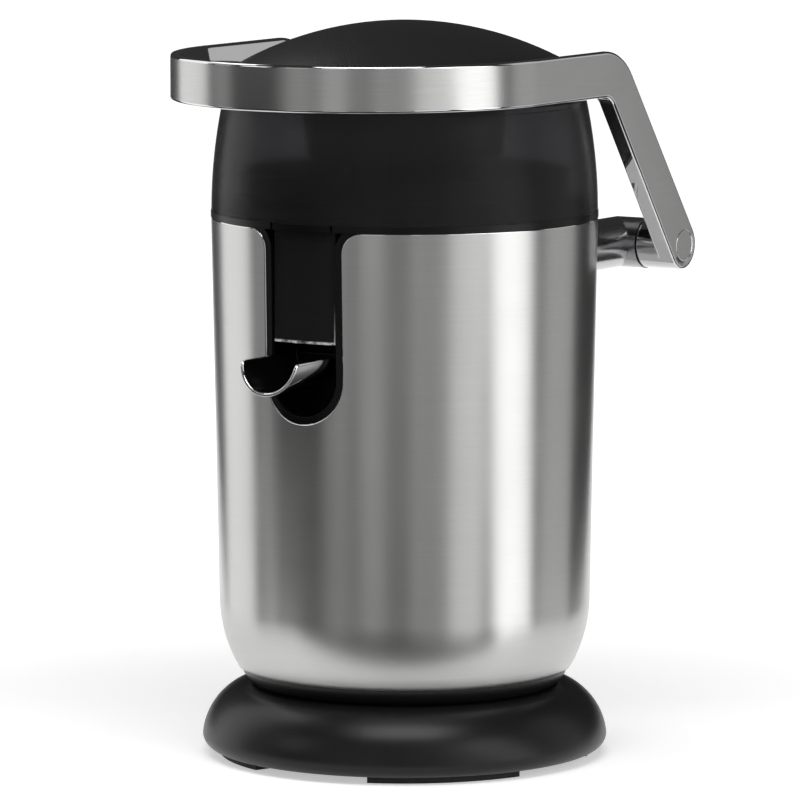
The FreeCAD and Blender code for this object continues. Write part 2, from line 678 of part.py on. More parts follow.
def juice_collector():
    """Smoked bowl with a central chimney, an outlet and a tongue over the spout."""
    w = BOWL_WALL
    lip_r = BOWL_RIM_R - w - BOWL_LIP_W
    lip_z = BOWL_RIM_Z - BOWL_LIP_H
    floor_top = BOWL_FLOOR_Z + w
    neck_z = CHIMNEY_SHOULDER_Z + CHIMNEY_NECK_H
    wall_r = BOWL_FOOT_R - w
    corners = [
        rz(BOWL_RIM_R, BOWL_RIM_Z), rz(lip_r, BOWL_RIM_Z), rz(lip_r, lip_z), rz(BOWL_RIM_R - w, lip_z)]
    lower = [
        rz(wall_r, floor_top), rz(CHIMNEY_R, floor_top), rz(CHIMNEY_R, CHIMNEY_SHOULDER_Z),
        rz(CHIMNEY_NECK_R, CHIMNEY_SHOULDER_Z), rz(CHIMNEY_NECK_R, neck_z), rz(CHIMNEY_BORE_R, neck_z),
        rz(CHIMNEY_BORE_R, BOWL_FLOOR_Z), rz(wall_r, BOWL_FLOOR_Z), rz(wall_r, BOWL_FOOT_Z),
        rz(BOWL_FOOT_R, BOWL_FOOT_Z)]
    edges = [arc(lower[-1], rz(BOWL_BULGE_R, BOWL_BULGE_Z), corners[0])]
    edges += [line(a, b) for a, b in zip(corners, corners[1:])]
    edges.append(arc(corners[-1], rz(BOWL_BULGE_R - w, BOWL_BULGE_Z), lower[0]))
    edges += [line(a, b) for a, b in zip(lower, lower[1:])]
    bowl = revolve(edges)
    plate = tube(TONGUE_R, TONGUE_R - TONGUE_T, TONGUE_BOTTOM_Z, BOWL_FLOOR_Z + w / 2)
    bowl = bowl.fuse(plate.common(box(-TONGUE_HALF_W, TONGUE_HALF_W, -BIG, 0, 0, BIG)))
    outlet = box(-OUTLET_HALF_W, OUTLET_HALF_W, OUTLET_NEAR_Y, OUTLET_FAR_Y,
                 BOWL_FLOOR_Z - w, floor_top + w)
    return bowl.cut(outlet)


def strainer():
    z = CHIMNEY_SHOULDER_Z
    disc = tube(STRAINER_R, STRAINER_HOLE_R, z, z + STRAINER_T)
    rim = tube(STRAINER_R, STRAINER_R - STRAINER_RIM_W, z, z + STRAINER_RIM_H)
    basket = disc.fuse(rim)
    slots = []
    for k in range(SLOT_COUNT):
        slot = box(SLOT_R_IN, SLOT_R_OUT, -SLOT_W / 2, SLOT_W / 2, z - STRAINER_T, z + 2 * STRAINER_T)
        slot.rotate(V(0, 0, 0), V(0, 0, 1), 360.0 / SLOT_COUNT * (k + 0.5))
        slots.append(slot)
    return basket.cut(Part.makeCompound(slots))


def rib_section(root_r, root_w, crest_r, crest_w, z):
    """Cross-section of a rib: a wide root inside the cone and a narrow crest."""
    corners = [V(root_r, -root_w / 2, z), V(crest_r, -crest_w / 2, z),
               V(crest_r, crest_w / 2, z), V(root_r, root_w / 2, z)]
    return Part.makePolygon(corners + corners[:1])


def cone_rib():
    """One wedge-shaped rib that runs from the cone's foot to its tip."""
    waist_r = CONE_R * CONE_WAIST
    waist_z = CONE_BOTTOM_Z + CONE_H * CONE_WAIST_UP
    tip_z = CONE_TIP_Z - CONE_TIP_R
    sections = []
    for r, z in ((CONE_R, CONE_BOTTOM_Z), (waist_r, waist_z)):
        sections.append(
            rib_section(r - CONE_RIB_ROOT, CONE_RIB_W, r + CONE_RIB_H, CONE_RIB_CREST_W, z))
    sections.append(
        rib_section(0.2 * CONE_TIP_R, CONE_RIB_W / 2, 1.7 * CONE_TIP_R, 0.75 * CONE_RIB_CREST_W, tip_z))
    return Part.makeLoft(sections, True, True)


def reamer_cone():
    foot = rz(CONE_R, CONE_BOTTOM_Z)
    waist = rz(CONE_R * CONE_WAIST, CONE_BOTTOM_Z + CONE_H * CONE_WAIST_UP)
    tip = rz(CONE_TIP_R, CONE_TIP_Z)
    core = revolve([
        arc(foot, waist, tip), line(tip, rz(0, CONE_TIP_Z)),
        line(rz(0, CONE_TIP_Z), rz(0, CONE_BOTTOM_Z)), line(rz(0, CONE_BOTTOM_Z), foot),
    ])
    rib = cone_rib()
    for k in range(CONE_RIB_COUNT):
        copy = rib.copy()
        copy.rotate(V(0, 0, 0), V(0, 0, 1), 360.0 / CONE_RIB_COUNT * k)
        core = core.fuse(copy)
    return core.cut(cylinder(SHAFT_R + FIT, 0, SHAFT_TOP_Z + GAP))


def drive_shaft():
    flange_top = BUSH_BOTTOM_Z - GAP
    flange = cylinder(SHAFT_FLANGE_R, flange_top - SHAFT_FLANGE_T, flange_top)
    return cylinder(SHAFT_R, SHAFT_BOTTOM_Z, SHAFT_TOP_Z).fuse(flange)


def shaft_bush():
    return tube(BUSH_R, SHAFT_R + FIT, BUSH_BOTTOM_Z, DECK_TOP_Z)


def shaft_seal():
    return tube(BUSH_R, SHAFT_R + GAP, DECK_TOP_Z, DECK_TOP_Z + SEAL_H)


def return_spring():
    """Plain sleeve that stands in for the coil between the gear hub and the shaft's flange."""
    start = GEAR_HUB_TOP_Z + GAP
    end = BUSH_BOTTOM_Z - GAP - SHAFT_FLANGE_T - GAP
    return tube(SPRING_R + SPRING_WIRE_R, SPRING_R - SPRING_WIRE_R, start, end)


def gear_blank(teeth, module, thickness, phase):
    """Spur gear outline from involute flanks, thinned by the backlash."""
    pitch_r = teeth * module / 2.0
    base_r = pitch_r * math.cos(math.radians(20.0))
    root_r = pitch_r - 1.25 * module
    tip_r = pitch_r + GEAR_ADDENDUM * module

    def involute(radius):
        ratio = max(radius / base_r, 1.0)
        angle = math.acos(1.0 / ratio)
        return math.tan(angle) - angle

    half_at_pitch = (math.pi * module / 2.0 - GEAR_BACKLASH) / 2.0 / pitch_r
    radii = [root_r, max(base_r, root_r + 0.2 * module), pitch_r, tip_r]
    points = []
    for k in range(teeth):
        centre = phase + 2.0 * math.pi * k / teeth
        halves = [half_at_pitch + involute(pitch_r) - involute(r) for r in radii]
        flank = list(zip(radii, halves))
        for r, h in flank:
            points.append(V(r * math.cos(centre - h), r * math.sin(centre - h), 0))
        for r, h in reversed(flank):
            points.append(V(r * math.cos(centre + h), r * math.sin(centre + h), 0))
    outline = Part.makePolygon(points + points[:1])
    return Part.Face(outline).extrude(V(0, 0, thickness))


def idler_place():
    return 0.0, IDLER_Y


def motor_place():
    x, y = idler_place()
    reach = GEAR_MODULE_IN * (GEAR_TEETH_LARGE + GEAR_TEETH_PINION) / 2.0
    return x + reach * math.cos(MOTOR_BEARING), y + reach * math.sin(MOTOR_BEARING)


def output_gear():
    gear = gear_blank(GEAR_TEETH_OUT, GEAR_MODULE_OUT, GEAR_OUT_T, math.pi / 2)
    gear.translate(V(0, 0, GEAR_OUT_Z))
    hub = cylinder(GEAR_HUB_R, BOX_FLOOR_Z + BOX_WALL + GEAR_HUB_FLOOR, GEAR_HUB_TOP_Z)
    return gear.fuse(hub).cut(drill(SHAFT_R + FIT))


def idler_gear():
    x, y = idler_place()
    over = GEAR_SMALL_OVER
    mesh_angle = -math.pi / 2 + math.pi / GEAR_TEETH_SMALL
    small = gear_blank(GEAR_TEETH_SMALL, GEAR_MODULE_OUT, GEAR_OUT_T + 2 * over, mesh_angle)
    small.translate(V(0, 0, GEAR_OUT_Z - over))
    large = gear_blank(GEAR_TEETH_LARGE, GEAR_MODULE_IN, GEAR_IN_T, MOTOR_BEARING)
    large.translate(V(0, 0, GEAR_IN_Z))
    neck = cylinder(IDLER_PIN_R + IDLER_NECK_WALL, GEAR_IN_Z + GEAR_IN_T / 2, GEAR_OUT_Z)
    gear = large.fuse(neck).fuse(small)
    gear.translate(V(x, y, 0))
    return gear.cut(drill(IDLER_PIN_R + FIT, x, y))


def idler_pin():
    x, y = idler_place()
    return cylinder(IDLER_PIN_R, BOX_FLOOR_Z, BOX_TOP_Z + BOX_COVER_T, x, y)


def motor_pinion():
    x, y = motor_place()
    mesh_angle = MOTOR_BEARING + math.pi + math.pi / GEAR_TEETH_PINION
    gear = gear_blank(GEAR_TEETH_PINION, GEAR_MODULE_IN, GEAR_IN_T, mesh_angle)
    gear.translate(V(x, y, GEAR_IN_Z))
    return gear.cut(drill(MOTOR_SHAFT_R + FIT, x, y))


def motor_rotor():
    x, y = motor_place()
    core = cylinder(ROTOR_R, ROTOR_BOTTOM_Z, ROTOR_TOP_Z, x, y)
    low = MOTOR_BOTTOM_Z + MOTOR_SHAFT_LIFT
    return core.fuse(cylinder(MOTOR_SHAFT_R, low, GEAR_IN_Z + GEAR_IN_T, x, y))


def motor_can():
    x, y = motor_place()
    can = cylinder(MOTOR_R, MOTOR_BOTTOM_Z, BOX_FLOOR_Z, x, y)
    hollow = cylinder(MOTOR_R - MOTOR_WALL, MOTOR_BOTTOM_Z + MOTOR_END_T, BOX_FLOOR_Z - MOTOR_END_T, x, y)
    can = can.cut(hollow).cut(drill(MOTOR_BUSH_R + FIT, x, y))
    for side in (-1, 1):
        sy = y + side * MOTOR_SCREW_PCD_R
        can = can.cut(cylinder(MOTOR_SCREW_R + FIT, BOX_FLOOR_Z - 2 * MOTOR_SCREW_DEPTH, BIG, x, sy))
    return can


def motor_bushes():
    x, y = motor_place()
    low = tube(MOTOR_BUSH_R, MOTOR_SHAFT_R + FIT, MOTOR_BOTTOM_Z, MOTOR_BOTTOM_Z + MOTOR_BUSH_LEN, x, y)
    high = tube(MOTOR_BUSH_R, MOTOR_SHAFT_R + FIT, BOX_FLOOR_Z - MOTOR_BUSH_LEN, BOX_FLOOR_Z, x, y)
    return Part.makeCompound([low, high])


def motor_magnets():
    x, y = motor_place()
    outer = MAGNET_R
    magnets = []
    for turn in (0.0, 180.0):
        profile = Part.makePolygon([rz(outer - MAGNET_T, ROTOR_BOTTOM_Z), rz(outer, ROTOR_BOTTOM_Z),
                                    rz(outer, ROTOR_TOP_Z), rz(outer - MAGNET_T, ROTOR_TOP_Z),
                                    rz(outer - MAGNET_T, ROTOR_BOTTOM_Z)])
        magnet = Part.Face(profile).revolve(V(0, 0, 0), V(0, 0, 1), MAGNET_ARC)
        magnet.rotate(V(0, 0, 0), V(0, 0, 1), turn - MAGNET_ARC / 2)
        magnet.translate(V(x, y, 0))
        magnets.append(magnet)
    return Part.makeCompound(magnets)


def motor_screws():
    x, y = motor_place()
    screws = []
    for side in (-1, 1):
        sy = y + side * MOTOR_SCREW_PCD_R
        floor = BOX_FLOOR_Z + BOX_WALL
        head = cylinder(MOTOR_SCREW_R + MOTOR_SCREW_HEAD_W, floor, floor + MOTOR_SCREW_HEAD_H, x, sy)
        screws.append(head.fuse(cylinder(MOTOR_SCREW_R, BOX_FLOOR_Z - MOTOR_SCREW_DEPTH, floor, x, sy)))
    return Part.makeCompound(screws)


def box_plan(radius, front_y, bottom, top):
    return cylinder(radius, bottom, top).common(box(-BIG, BIG, front_y, BIG, bottom, top))


def gearbox_housing():
    w = BOX_WALL
    floor = BOX_FLOOR_Z + w
    cup = box_plan(BOX_R, BOX_FRONT_Y, BOX_FLOOR_Z, BOX_TOP_Z)
    cup = cup.cut(box_plan(BOX_R - w, BOX_FRONT_Y + w, floor, BIG))
    cup = cup.fuse(cylinder(GEAR_HUB_R + FIT + BOX_HUB_WALL, floor - w / 2, GEAR_IN_Z + GEAR_IN_T))
    cup = cup.cut(cylinder(GEAR_HUB_R + FIT, floor, BIG))
    cup = cup.cut(drill(SHAFT_R + GAP))
    for angle in BOX_SCREW_ANGLES:
        x, y = polar(BOX_SCREW_PCD_R, angle)
        cup = cup.fuse(cylinder(BOX_BOSS_R, floor - w / 2, BOX_TOP_Z, x, y))
        cup = cup.cut(cylinder(BOX_SCREW_R + FIT, BOX_TOP_Z - BOX_SCREW_LEN - GAP, BIG, x, y))
    ix, iy = idler_place()
    cup = cup.cut(drill(IDLER_PIN_R + FIT, ix, iy))
    mx, my = motor_place()
    cup = cup.cut(drill(MOTOR_SHAFT_R + MOTOR_SHAFT_PLAY, mx, my))
    for side in (-1, 1):
        cup = cup.cut(drill(MOTOR_SCREW_R + FIT, mx, my + side * MOTOR_SCREW_PCD_R))
    return cup


def gearbox_cover():
    cover = box_plan(BOX_R, BOX_FRONT_Y, BOX_TOP_Z, BOX_TOP_Z + BOX_COVER_T)
    cover = cover.cut(drill(GEAR_HUB_R + FIT))
    ix, iy = idler_place()
    cover = cover.cut(drill(IDLER_PIN_R + FIT, ix, iy))
    for angle in BOX_SCREW_ANGLES:
        x, y = polar(BOX_SCREW_PCD_R, angle)
        cover = cover.cut(drill(BOX_SCREW_R + FIT, x, y))
    return cover


def gearbox_screws():
    screws = []
    top = BOX_TOP_Z + BOX_COVER_T
    for angle in BOX_SCREW_ANGLES:
        x, y = polar(BOX_SCREW_PCD_R, angle)
        head = cylinder(BOX_SCREW_R + BOX_SCREW_HEAD_W, top, top + BOX_SCREW_HEAD_H, x, y)
        screws.append(head.fuse(cylinder(BOX_SCREW_R, BOX_TOP_Z - BOX_SCREW_LEN, top, x, y)))
    return Part.makeCompound(screws)


def microswitch():
    body = box(SWITCH_X[0], SWITCH_X[1], SWITCH_Y[0], SWITCH_Y[1], SWITCH_TOP_Z - SWITCH_H, SWITCH_TOP_Z)
    return body.cut(cylinder(PLUNGER_R + FIT, SWITCH_TOP_Z - PLUNGER_DEPTH - PRESS_TRAVEL, BIG))


def switch_plunger():
    return cylinder(PLUNGER_R, SWITCH_TOP_Z - PLUNGER_DEPTH + GAP, SHAFT_BOTTOM_Z - GAP)


def switch_bracket():
    x = SWITCH_X[1]
    return box(x, x + SWITCH_BRACKET_T, SWITCH_Y[0], SWITCH_Y[1], SWITCH_TOP_Z - SWITCH_H, BOX_FLOOR_Z)


def arm_direction():
    """Directions along and across the sloping arm, and where its middle line leaves the band."""
    mid_z = BAND_BOTTOM_Z + BAND_H / 2
    along = (math.sin(ARM_SLOPE), -math.cos(ARM_SLOPE))
    normal = (math.cos(ARM_SLOPE), math.sin(ARM_SLOPE))
    elbow_y = PIVOT_Y - math.tan(ARM_SLOPE) * (mid_z - PIVOT_Z)
    return along, normal, elbow_y


def arm_side():
    """Side view of one arm: level band, rounded elbow, slope, round end at the pivot."""
    along, normal, elbow_y = arm_direction()
    top = BAND_BOTTOM_Z + BAND_H
    turn = math.pi / 2 - ARM_SLOPE
    bend_y = elbow_y - ELBOW_R * math.tan(turn / 2)
    bend_z = BAND_BOTTOM_Z + BAND_H / 2 - ELBOW_R
    half = ARM_W / 2
    r_out = ELBOW_R + BAND_H / 2
    r_in = ELBOW_R - BAND_H / 2

    def p(y, z):
        return V(0, y, z)

    def on_bend(radius, angle):
        return p(bend_y + radius * math.sin(angle), bend_z + radius * math.cos(angle))

    def by_pivot(a, n):
        return p(PIVOT_Y + a * along[0] + n * normal[0], PIVOT_Z + a * along[1] + n * normal[1])

    start = YOKE_CENTRE_Y
    edges = [
        line(p(start, top), on_bend(r_out, 0)),
        arc(on_bend(r_out, 0), on_bend(r_out, turn / 2), on_bend(r_out, turn)),
        line(on_bend(r_out, turn), by_pivot(0, half)),
        arc(by_pivot(0, half), by_pivot(half, 0), by_pivot(0, -half)),
        line(by_pivot(0, -half), on_bend(r_in, turn)),
        arc(on_bend(r_in, turn), on_bend(r_in, turn / 2), on_bend(r_in, 0)),
        line(on_bend(r_in, 0), p(start, BAND_BOTTOM_Z)),
        line(p(start, BAND_BOTTOM_Z), p(start, top)),
    ]
    return Part.Face(Part.Wire(edges))


def lever_yoke():
    """Handle and arms in one: a half ring with straight arms that bend down to the hinge."""
    top = BAND_BOTTOM_Z + BAND_H
    ring = tube(YOKE_R, YOKE_INNER_X, BAND_BOTTOM_Z, top, 0, YOKE_CENTRE_Y)
    ring = ring.common(box(-BIG, BIG, -BIG, YOKE_CENTRE_Y, 0, BIG))
    arm = arm_side().extrude(V(BAND_T, 0, 0))
    arm.translate(V(YOKE_INNER_X, 0, 0))
    yoke = ring.fuse(arm).fuse(mirror_x(arm)).removeSplitter()
    yoke = yoke.makeFillet(BAND_ROUND, [e for e in yoke.Edges if runs_along_band(e)])
    pivot = (PIVOT_Y, PIVOT_Z)
    collar = rod(ARM_W / 2, (PIVOT_COLLAR_X, *pivot), (YOKE_INNER_X + BAND_T / 2, *pivot))
    recess = rod(PIN_CAP_R + PIN_CAP_GROOVE, (CAP_SEAT_X, *pivot), (BIG, *pivot))
    yoke = yoke.fuse(collar).fuse(mirror_x(collar)).cut(recess).cut(mirror_x(recess))
    tip_x = YOKE_INNER_X + DOME_SCREW_DEPTH + GAP
    for y in (-DOME_SCREW_Y, DOME_SCREW_Y):
        yoke = yoke.cut(rod(DOME_SCREW_R + FIT, (-tip_x, y, DOME_SCREW_Z), (tip_x, y, DOME_SCREW_Z)))
    return yoke.cut(cross_drill(PIVOT_BUSH_R + FIT, *pivot))


def runs_along_band(edge):
    """True for the edges that run along the band, not across its thickness."""
    size = edge.BoundBox
    across = abs(size.XLength - BAND_T) < BAND_T / 100 and size.YLength < BAND_T / 100
    return not across


def pivot_bushes():
    start = PIVOT_COLLAR_X + GAP
    bush = rod(PIVOT_BUSH_R, (start, PIVOT_Y, PIVOT_Z), (CAP_SEAT_X, PIVOT_Y, PIVOT_Z))
    bush = bush.cut(cross_drill(PIN_R + FIT, PIVOT_Y, PIVOT_Z))
    return Part.makeCompound([bush, mirror_x(bush)])


def pivot_pins():
    pin = rod(PIN_R, (PIN_INNER_X, PIVOT_Y, PIVOT_Z), (CAP_SEAT_X - GAP, PIVOT_Y, PIVOT_Z))
    return Part.makeCompound([pin, mirror_x(pin)])


def pin_caps():
    """Flat covers let into the arms, with a fine groove round them."""
    face = YOKE_R + PIN_CAP_PROUD
    cap = rod(PIN_CAP_R, (CAP_SEAT_X, PIVOT_Y, PIVOT_Z), (face, PIVOT_Y, PIVOT_Z))
    edge = [e for e in cap.Edges if e.BoundBox.XMin > face - PIN_CAP_PROUD]
    cap = cap.makeChamfer(PIN_CAP_GROOVE / 2, edge)
    return Part.makeCompound([cap, mirror_x(cap)])


def hinge_lug():
    """Polished elbow: a round neck out of the body, mitred into a round boss beside the arm."""
    pivot = (PIVOT_Y, PIVOT_Z)
    neck = rod(LUG_R, (LUG_X, LUG_INNER_Y, PIVOT_Z), (LUG_X, PIVOT_Y + 2 * LUG_R, PIVOT_Z))
    boss = rod(LUG_R, (LUG_X - 2 * LUG_R, *pivot), (PIVOT_COLLAR_X - LUG_SEAM_GAP, *pivot))
    half_space = box(-BIG, BIG, 0, BIG, -BIG, BIG)
    half_space.rotate(V(0, 0, 0), V(0, 0, 1), -45)
    half_space.translate(V(LUG_X, *pivot))
    lug = neck.cut(half_space).fuse(boss.common(half_space))
    lug = lug.cut(rod(PIN_R + FIT, (PIN_INNER_X - GAP, *pivot), (BIG, *pivot)))
    bolt_end = LUG_INNER_Y + LUG_BOLT_LEN
    return lug.cut(rod(LUG_BOLT_R + FIT, (LUG_X, 0, PIVOT_Z), (LUG_X, bolt_end, PIVOT_Z)))


def hinge_plate():
    plate = box(-PLATE_HALF_W, PLATE_HALF_W, LUG_INNER_Y - PLATE_T, LUG_INNER_Y,
                PLATE_BOTTOM_Z, DECK_TOP_Z - DECK_T)
    for side in (-1, 1):
        x = side * LUG_X
        plate = plate.cut(rod(LUG_BOLT_R + FIT, (x, 0, PIVOT_Z), (x, BIG, PIVOT_Z)))
    return plate


def lug_bolts():
    face = LUG_INNER_Y - PLATE_T
    bolt = rod(LUG_BOLT_R, (LUG_X, face, PIVOT_Z), (LUG_X, LUG_INNER_Y + LUG_BOLT_LEN - GAP, PIVOT_Z))
    bolt = bolt.fuse(rod(LUG_BOLT_HEAD_R, (LUG_X, face - LUG_BOLT_HEAD_H, PIVOT_Z), (LUG_X, face, PIVOT_Z)))
    return Part.makeCompound([bolt, mirror_x(bolt)])


def sphere_z(radius, sphere_r):
    centre = DOME_TOP_Z - DOME_SPHERE_R
    return centre + math.sqrt(sphere_r ** 2 - radius ** 2)


def press_dome():
    w = DOME_WALL
    inner_r = DOME_R - w
    inner_s = DOME_SPHERE_R - w
    outer_rim = rz(DOME_R, sphere_z(DOME_R, DOME_SPHERE_R))
    inner_rim = rz(inner_r, sphere_z(inner_r, inner_s))
    outer_mid = rz(DOME_R / 2, sphere_z(DOME_R / 2, DOME_SPHERE_R))
    inner_mid = rz(inner_r / 2, sphere_z(inner_r / 2, inner_s))
    outer_skirt = rz(DOME_R, DOME_SKIRT_Z)
    inner_skirt = rz(inner_r, DOME_SKIRT_Z)
    outer_top = rz(0, DOME_TOP_Z)
    inner_top = rz(0, DOME_TOP_Z - w)
    dome = revolve([
        arc(outer_top, outer_mid, outer_rim), line(outer_rim, outer_skirt), line(outer_skirt, inner_skirt),
        line(inner_skirt, inner_rim), arc(inner_rim, inner_mid, inner_top), line(inner_top, outer_top),
    ])
    pad_bottom = CUP_FLANGE_Z + CUP_FLANGE_T + PAD_OVER_FLANGE
    pad = box(inner_r - PAD_SINK, YOKE_INNER_X, -PAD_HALF_W, PAD_HALF_W, pad_bottom, PAD_TOP_Z)
    dome = dome.fuse(pad).fuse(mirror_x(pad))
    for y in (-DOME_SCREW_Y, DOME_SCREW_Y):
        dome = dome.cut(cross_drill(DOME_SCREW_R + FIT, y, DOME_SCREW_Z))
    return dome


def dome_screws():
    screws = []
    seat = DOME_R - DOME_WALL - PAD_SINK
    tip = YOKE_INNER_X + DOME_SCREW_DEPTH
    for y in (-DOME_SCREW_Y, DOME_SCREW_Y):
        shank = rod(DOME_SCREW_R, (seat, y, DOME_SCREW_Z), (tip, y, DOME_SCREW_Z))
        head = rod(DOME_SCREW_R + DOME_SCREW_HEAD_W, (seat - DOME_SCREW_HEAD_H, y, DOME_SCREW_Z),
                   (seat, y, DOME_SCREW_Z))
        screw = shank.fuse(head)
        screws += [screw, mirror_x(screw)]
    return Part.makeCompound(screws)


def press_cup():
    w = CUP_WALL
    flange_top = CUP_FLANGE_Z + CUP_FLANGE_T
    edges = [
        line(rz(0, CUP_TOP_Z), rz(CUP_FLAT_R, CUP_TOP_Z)),
        arc(rz(CUP_FLAT_R, CUP_TOP_Z), rz(CUP_MID_R, CUP_MID_Z), rz(CUP_RIM_R, CUP_RIM_Z)),
        line(rz(CUP_RIM_R, CUP_RIM_Z), rz(CUP_RIM_R + w, CUP_RIM_Z)),
        line(rz(CUP_RIM_R + w, CUP_RIM_Z), rz(CUP_RIM_R + w + CUP_SKIRT, CUP_FLANGE_Z)),
        line(rz(CUP_RIM_R + w + CUP_SKIRT, CUP_FLANGE_Z), rz(CUP_FLANGE_R, CUP_FLANGE_Z)),
        line(rz(CUP_FLANGE_R, CUP_FLANGE_Z), rz(CUP_FLANGE_R, flange_top)),
        line(rz(CUP_FLANGE_R, flange_top), rz(CUP_MID_R + w + CUP_SKIRT, flange_top)),
        line(rz(CUP_MID_R + w + CUP_SKIRT, flange_top), rz(CUP_FLAT_R + w, CUP_TOP_Z + w)),
        line(rz(CUP_FLAT_R + w, CUP_TOP_Z + w), rz(0, CUP_TOP_Z + w)),
        line(rz(0, CUP_TOP_Z + w), rz(0, CUP_TOP_Z)),
    ]
    return revolve(edges)


save("base_shell", base_shell())
save("base_cover", base_cover())
save("base_screws", base_screws())
save("rubber_feet", rubber_feet())
save("cord_gland", cord_gland())
save("lower_collar", lower_collar())
save("body_shell", body_shell())
save("top_trim_ring", top_trim_ring())
save("window_frame", window_frame())
save("inner_housing", inner_housing())
save("spout_bay", spout_bay())
save("spout", spout())
save("spout_pins", spout_pins())
save("juice_collector", juice_collector())
save("strainer", strainer())
save("reamer_cone", reamer_cone())
save("drive_shaft", drive_shaft())
save("shaft_bush", shaft_bush())
save("shaft_seal", shaft_seal())
save("return_spring", return_spring())
save("output_gear", output_gear())
save("idler_gear", idler_gear())
save("idler_pin", idler_pin())
save("motor_pinion", motor_pinion())
save("motor_rotor", motor_rotor())
save("motor_can", motor_can())
save("motor_bushes", motor_bushes())
save("motor_magnets", motor_magnets())
save("motor_screws", motor_screws())
save("gearbox_housing", gearbox_housing())
save("gearbox_cover", gearbox_cover())
save("gearbox_screws", gearbox_screws())
save("microswitch", microswitch())
save("switch_plunger", switch_plunger())
save("switch_bracket", switch_bracket())
save("lever_yoke", lever_yoke())
save("pivot_bushes", pivot_bushes())
save("pivot_pins", pivot_pins())
save("pin_caps", pin_caps())
save("hinge_lug_right", hinge_lug())
save("hinge_lug_left", mirror_x(hinge_lug()))
save("hinge_plate", hinge_plate())
save("lug_bolts", lug_bolts())
save("press_dome", press_dome())
save("dome_screws", dome_screws())
save("press_cup", press_cup())
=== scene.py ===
# %% [markdown]
# This lesson dresses a lever-operated citrus press. The press is already
# packed as exact solids with joints, so the first step loads that frame.
# Every later piece is made in metres in the same place, and it either gives
# a solid a better finish or stands in for one whose form needs finer edges.

# %% load the frame
import cmath
import math
import bmesh
import bpy
from mathutils import Matrix, Quaternion, Vector


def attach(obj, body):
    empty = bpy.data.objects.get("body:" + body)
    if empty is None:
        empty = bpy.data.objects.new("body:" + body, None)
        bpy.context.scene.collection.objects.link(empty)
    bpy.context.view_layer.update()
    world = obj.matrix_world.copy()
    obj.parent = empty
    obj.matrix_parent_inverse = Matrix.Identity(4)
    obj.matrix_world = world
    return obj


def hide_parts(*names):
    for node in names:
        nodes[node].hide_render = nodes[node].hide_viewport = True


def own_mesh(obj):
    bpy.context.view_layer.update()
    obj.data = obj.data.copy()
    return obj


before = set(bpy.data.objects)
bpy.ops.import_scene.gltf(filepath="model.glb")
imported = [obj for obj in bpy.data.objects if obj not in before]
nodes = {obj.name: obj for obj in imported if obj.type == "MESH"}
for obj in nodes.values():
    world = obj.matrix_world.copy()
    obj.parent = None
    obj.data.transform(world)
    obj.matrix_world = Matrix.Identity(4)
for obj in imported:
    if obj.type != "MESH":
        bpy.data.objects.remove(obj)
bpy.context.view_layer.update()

print("solids loaded:", len(nodes))

# %% [markdown]
# Sizes are easier to read in millimetres, the unit of the workshop, and
# Blender works in metres. One factor turns the first into the second.
# Colours are written as the sRGB hex values a painter would pick, and one
# function turns them into the linear values that the shaders expect.

# %% units and colours
MM = 0.001
AXIS_Y = 3.3


def mm(x, y, z):
    """A point or a way that is given in millimetres."""
    return Vector((x, y, z)) * MM


def linear(hex_colour):
    """Linear RGBA for an sRGB hex colour such as 'c8c8c6'."""
    parts = [int(hex_colour[i:i + 2], 16) / 255 for i in (0, 2, 4)]
    curve = [c / 12.92 if c <= 0.04045 else ((c + 0.055) / 1.055) ** 2.4 for c in parts]
    return (*curve, 1.0)


print("mid grey in linear:", [round(c, 3) for c in linear("808080")[:3]])

# %% [markdown]
# A material is a small graph of nodes. One helper adds a node, sets its
# plain settings and joins its inputs, so that each finish below reads as a
# short recipe. A link is written as the socket that feeds the input.

# %% node helper


def add(tree, kind, inputs=None, **settings):
    """Adds a node; inputs maps a socket name or number to a value or to a feeding socket."""
    node = tree.nodes.new(kind)
    for name, value in settings.items():
        setattr(node, name, value)
    for key, value in (inputs or {}).items():
        if isinstance(value, bpy.types.NodeSocket):
            tree.links.new(value, node.inputs[key])
        else:
            node.inputs[key].default_value = value
    return node


def start_material(name):
    """An empty material with its tree, its shader and the object coordinates."""
    material = bpy.data.materials.new(name)
    material.use_nodes = True
    tree = material.node_tree
    tree.nodes.clear()
    shader = add(tree, "ShaderNodeBsdfPrincipled")
    output = add(tree, "ShaderNodeOutputMaterial")
    tree.links.new(shader.outputs[0], output.inputs[0])
    coords = add(tree, "ShaderNodeTexCoord").outputs["Object"]
    return material, tree, shader, coords


def feed(tree, shader, **links):
    """Joins sockets to inputs of the shader; an underscore stands for a space in the input's name."""
    for name, socket in links.items():
        tree.links.new(socket, shader.inputs[name.replace("_", " ")])


print("material helpers ready")

# %% [markdown]
# Brushed stainless steel is drawn under abrasive belts. The belt leaves fine
# parallel scratches that run round the body, and they spread each highlight
# up and down, which is why the body shows tall soft bands. Stretched noise
# gives the scratches; they are drawn a little coarser than the real 0.1 mm
# so that they still show at this distance.
#
# The other metals follow the same recipe. Polished chrome mirrors the lamps,
# satin chrome blurs them, turned steel keeps fine rings from the tool, zinc
# plate is dull and a little mottled, and sintered bronze is matt and porous.

# %% brushed and polished metals
MIDDLE_OF_NOISE = {"From Min": 0.3, "From Max": 0.7}
SCRATCH_DEPTH = 0.05
SMEAR_MM = 55.6


def per_metre(size_mm):
    """The scale of a pattern whose cells have this size."""
    return 1.0 / (size_mm * MM)


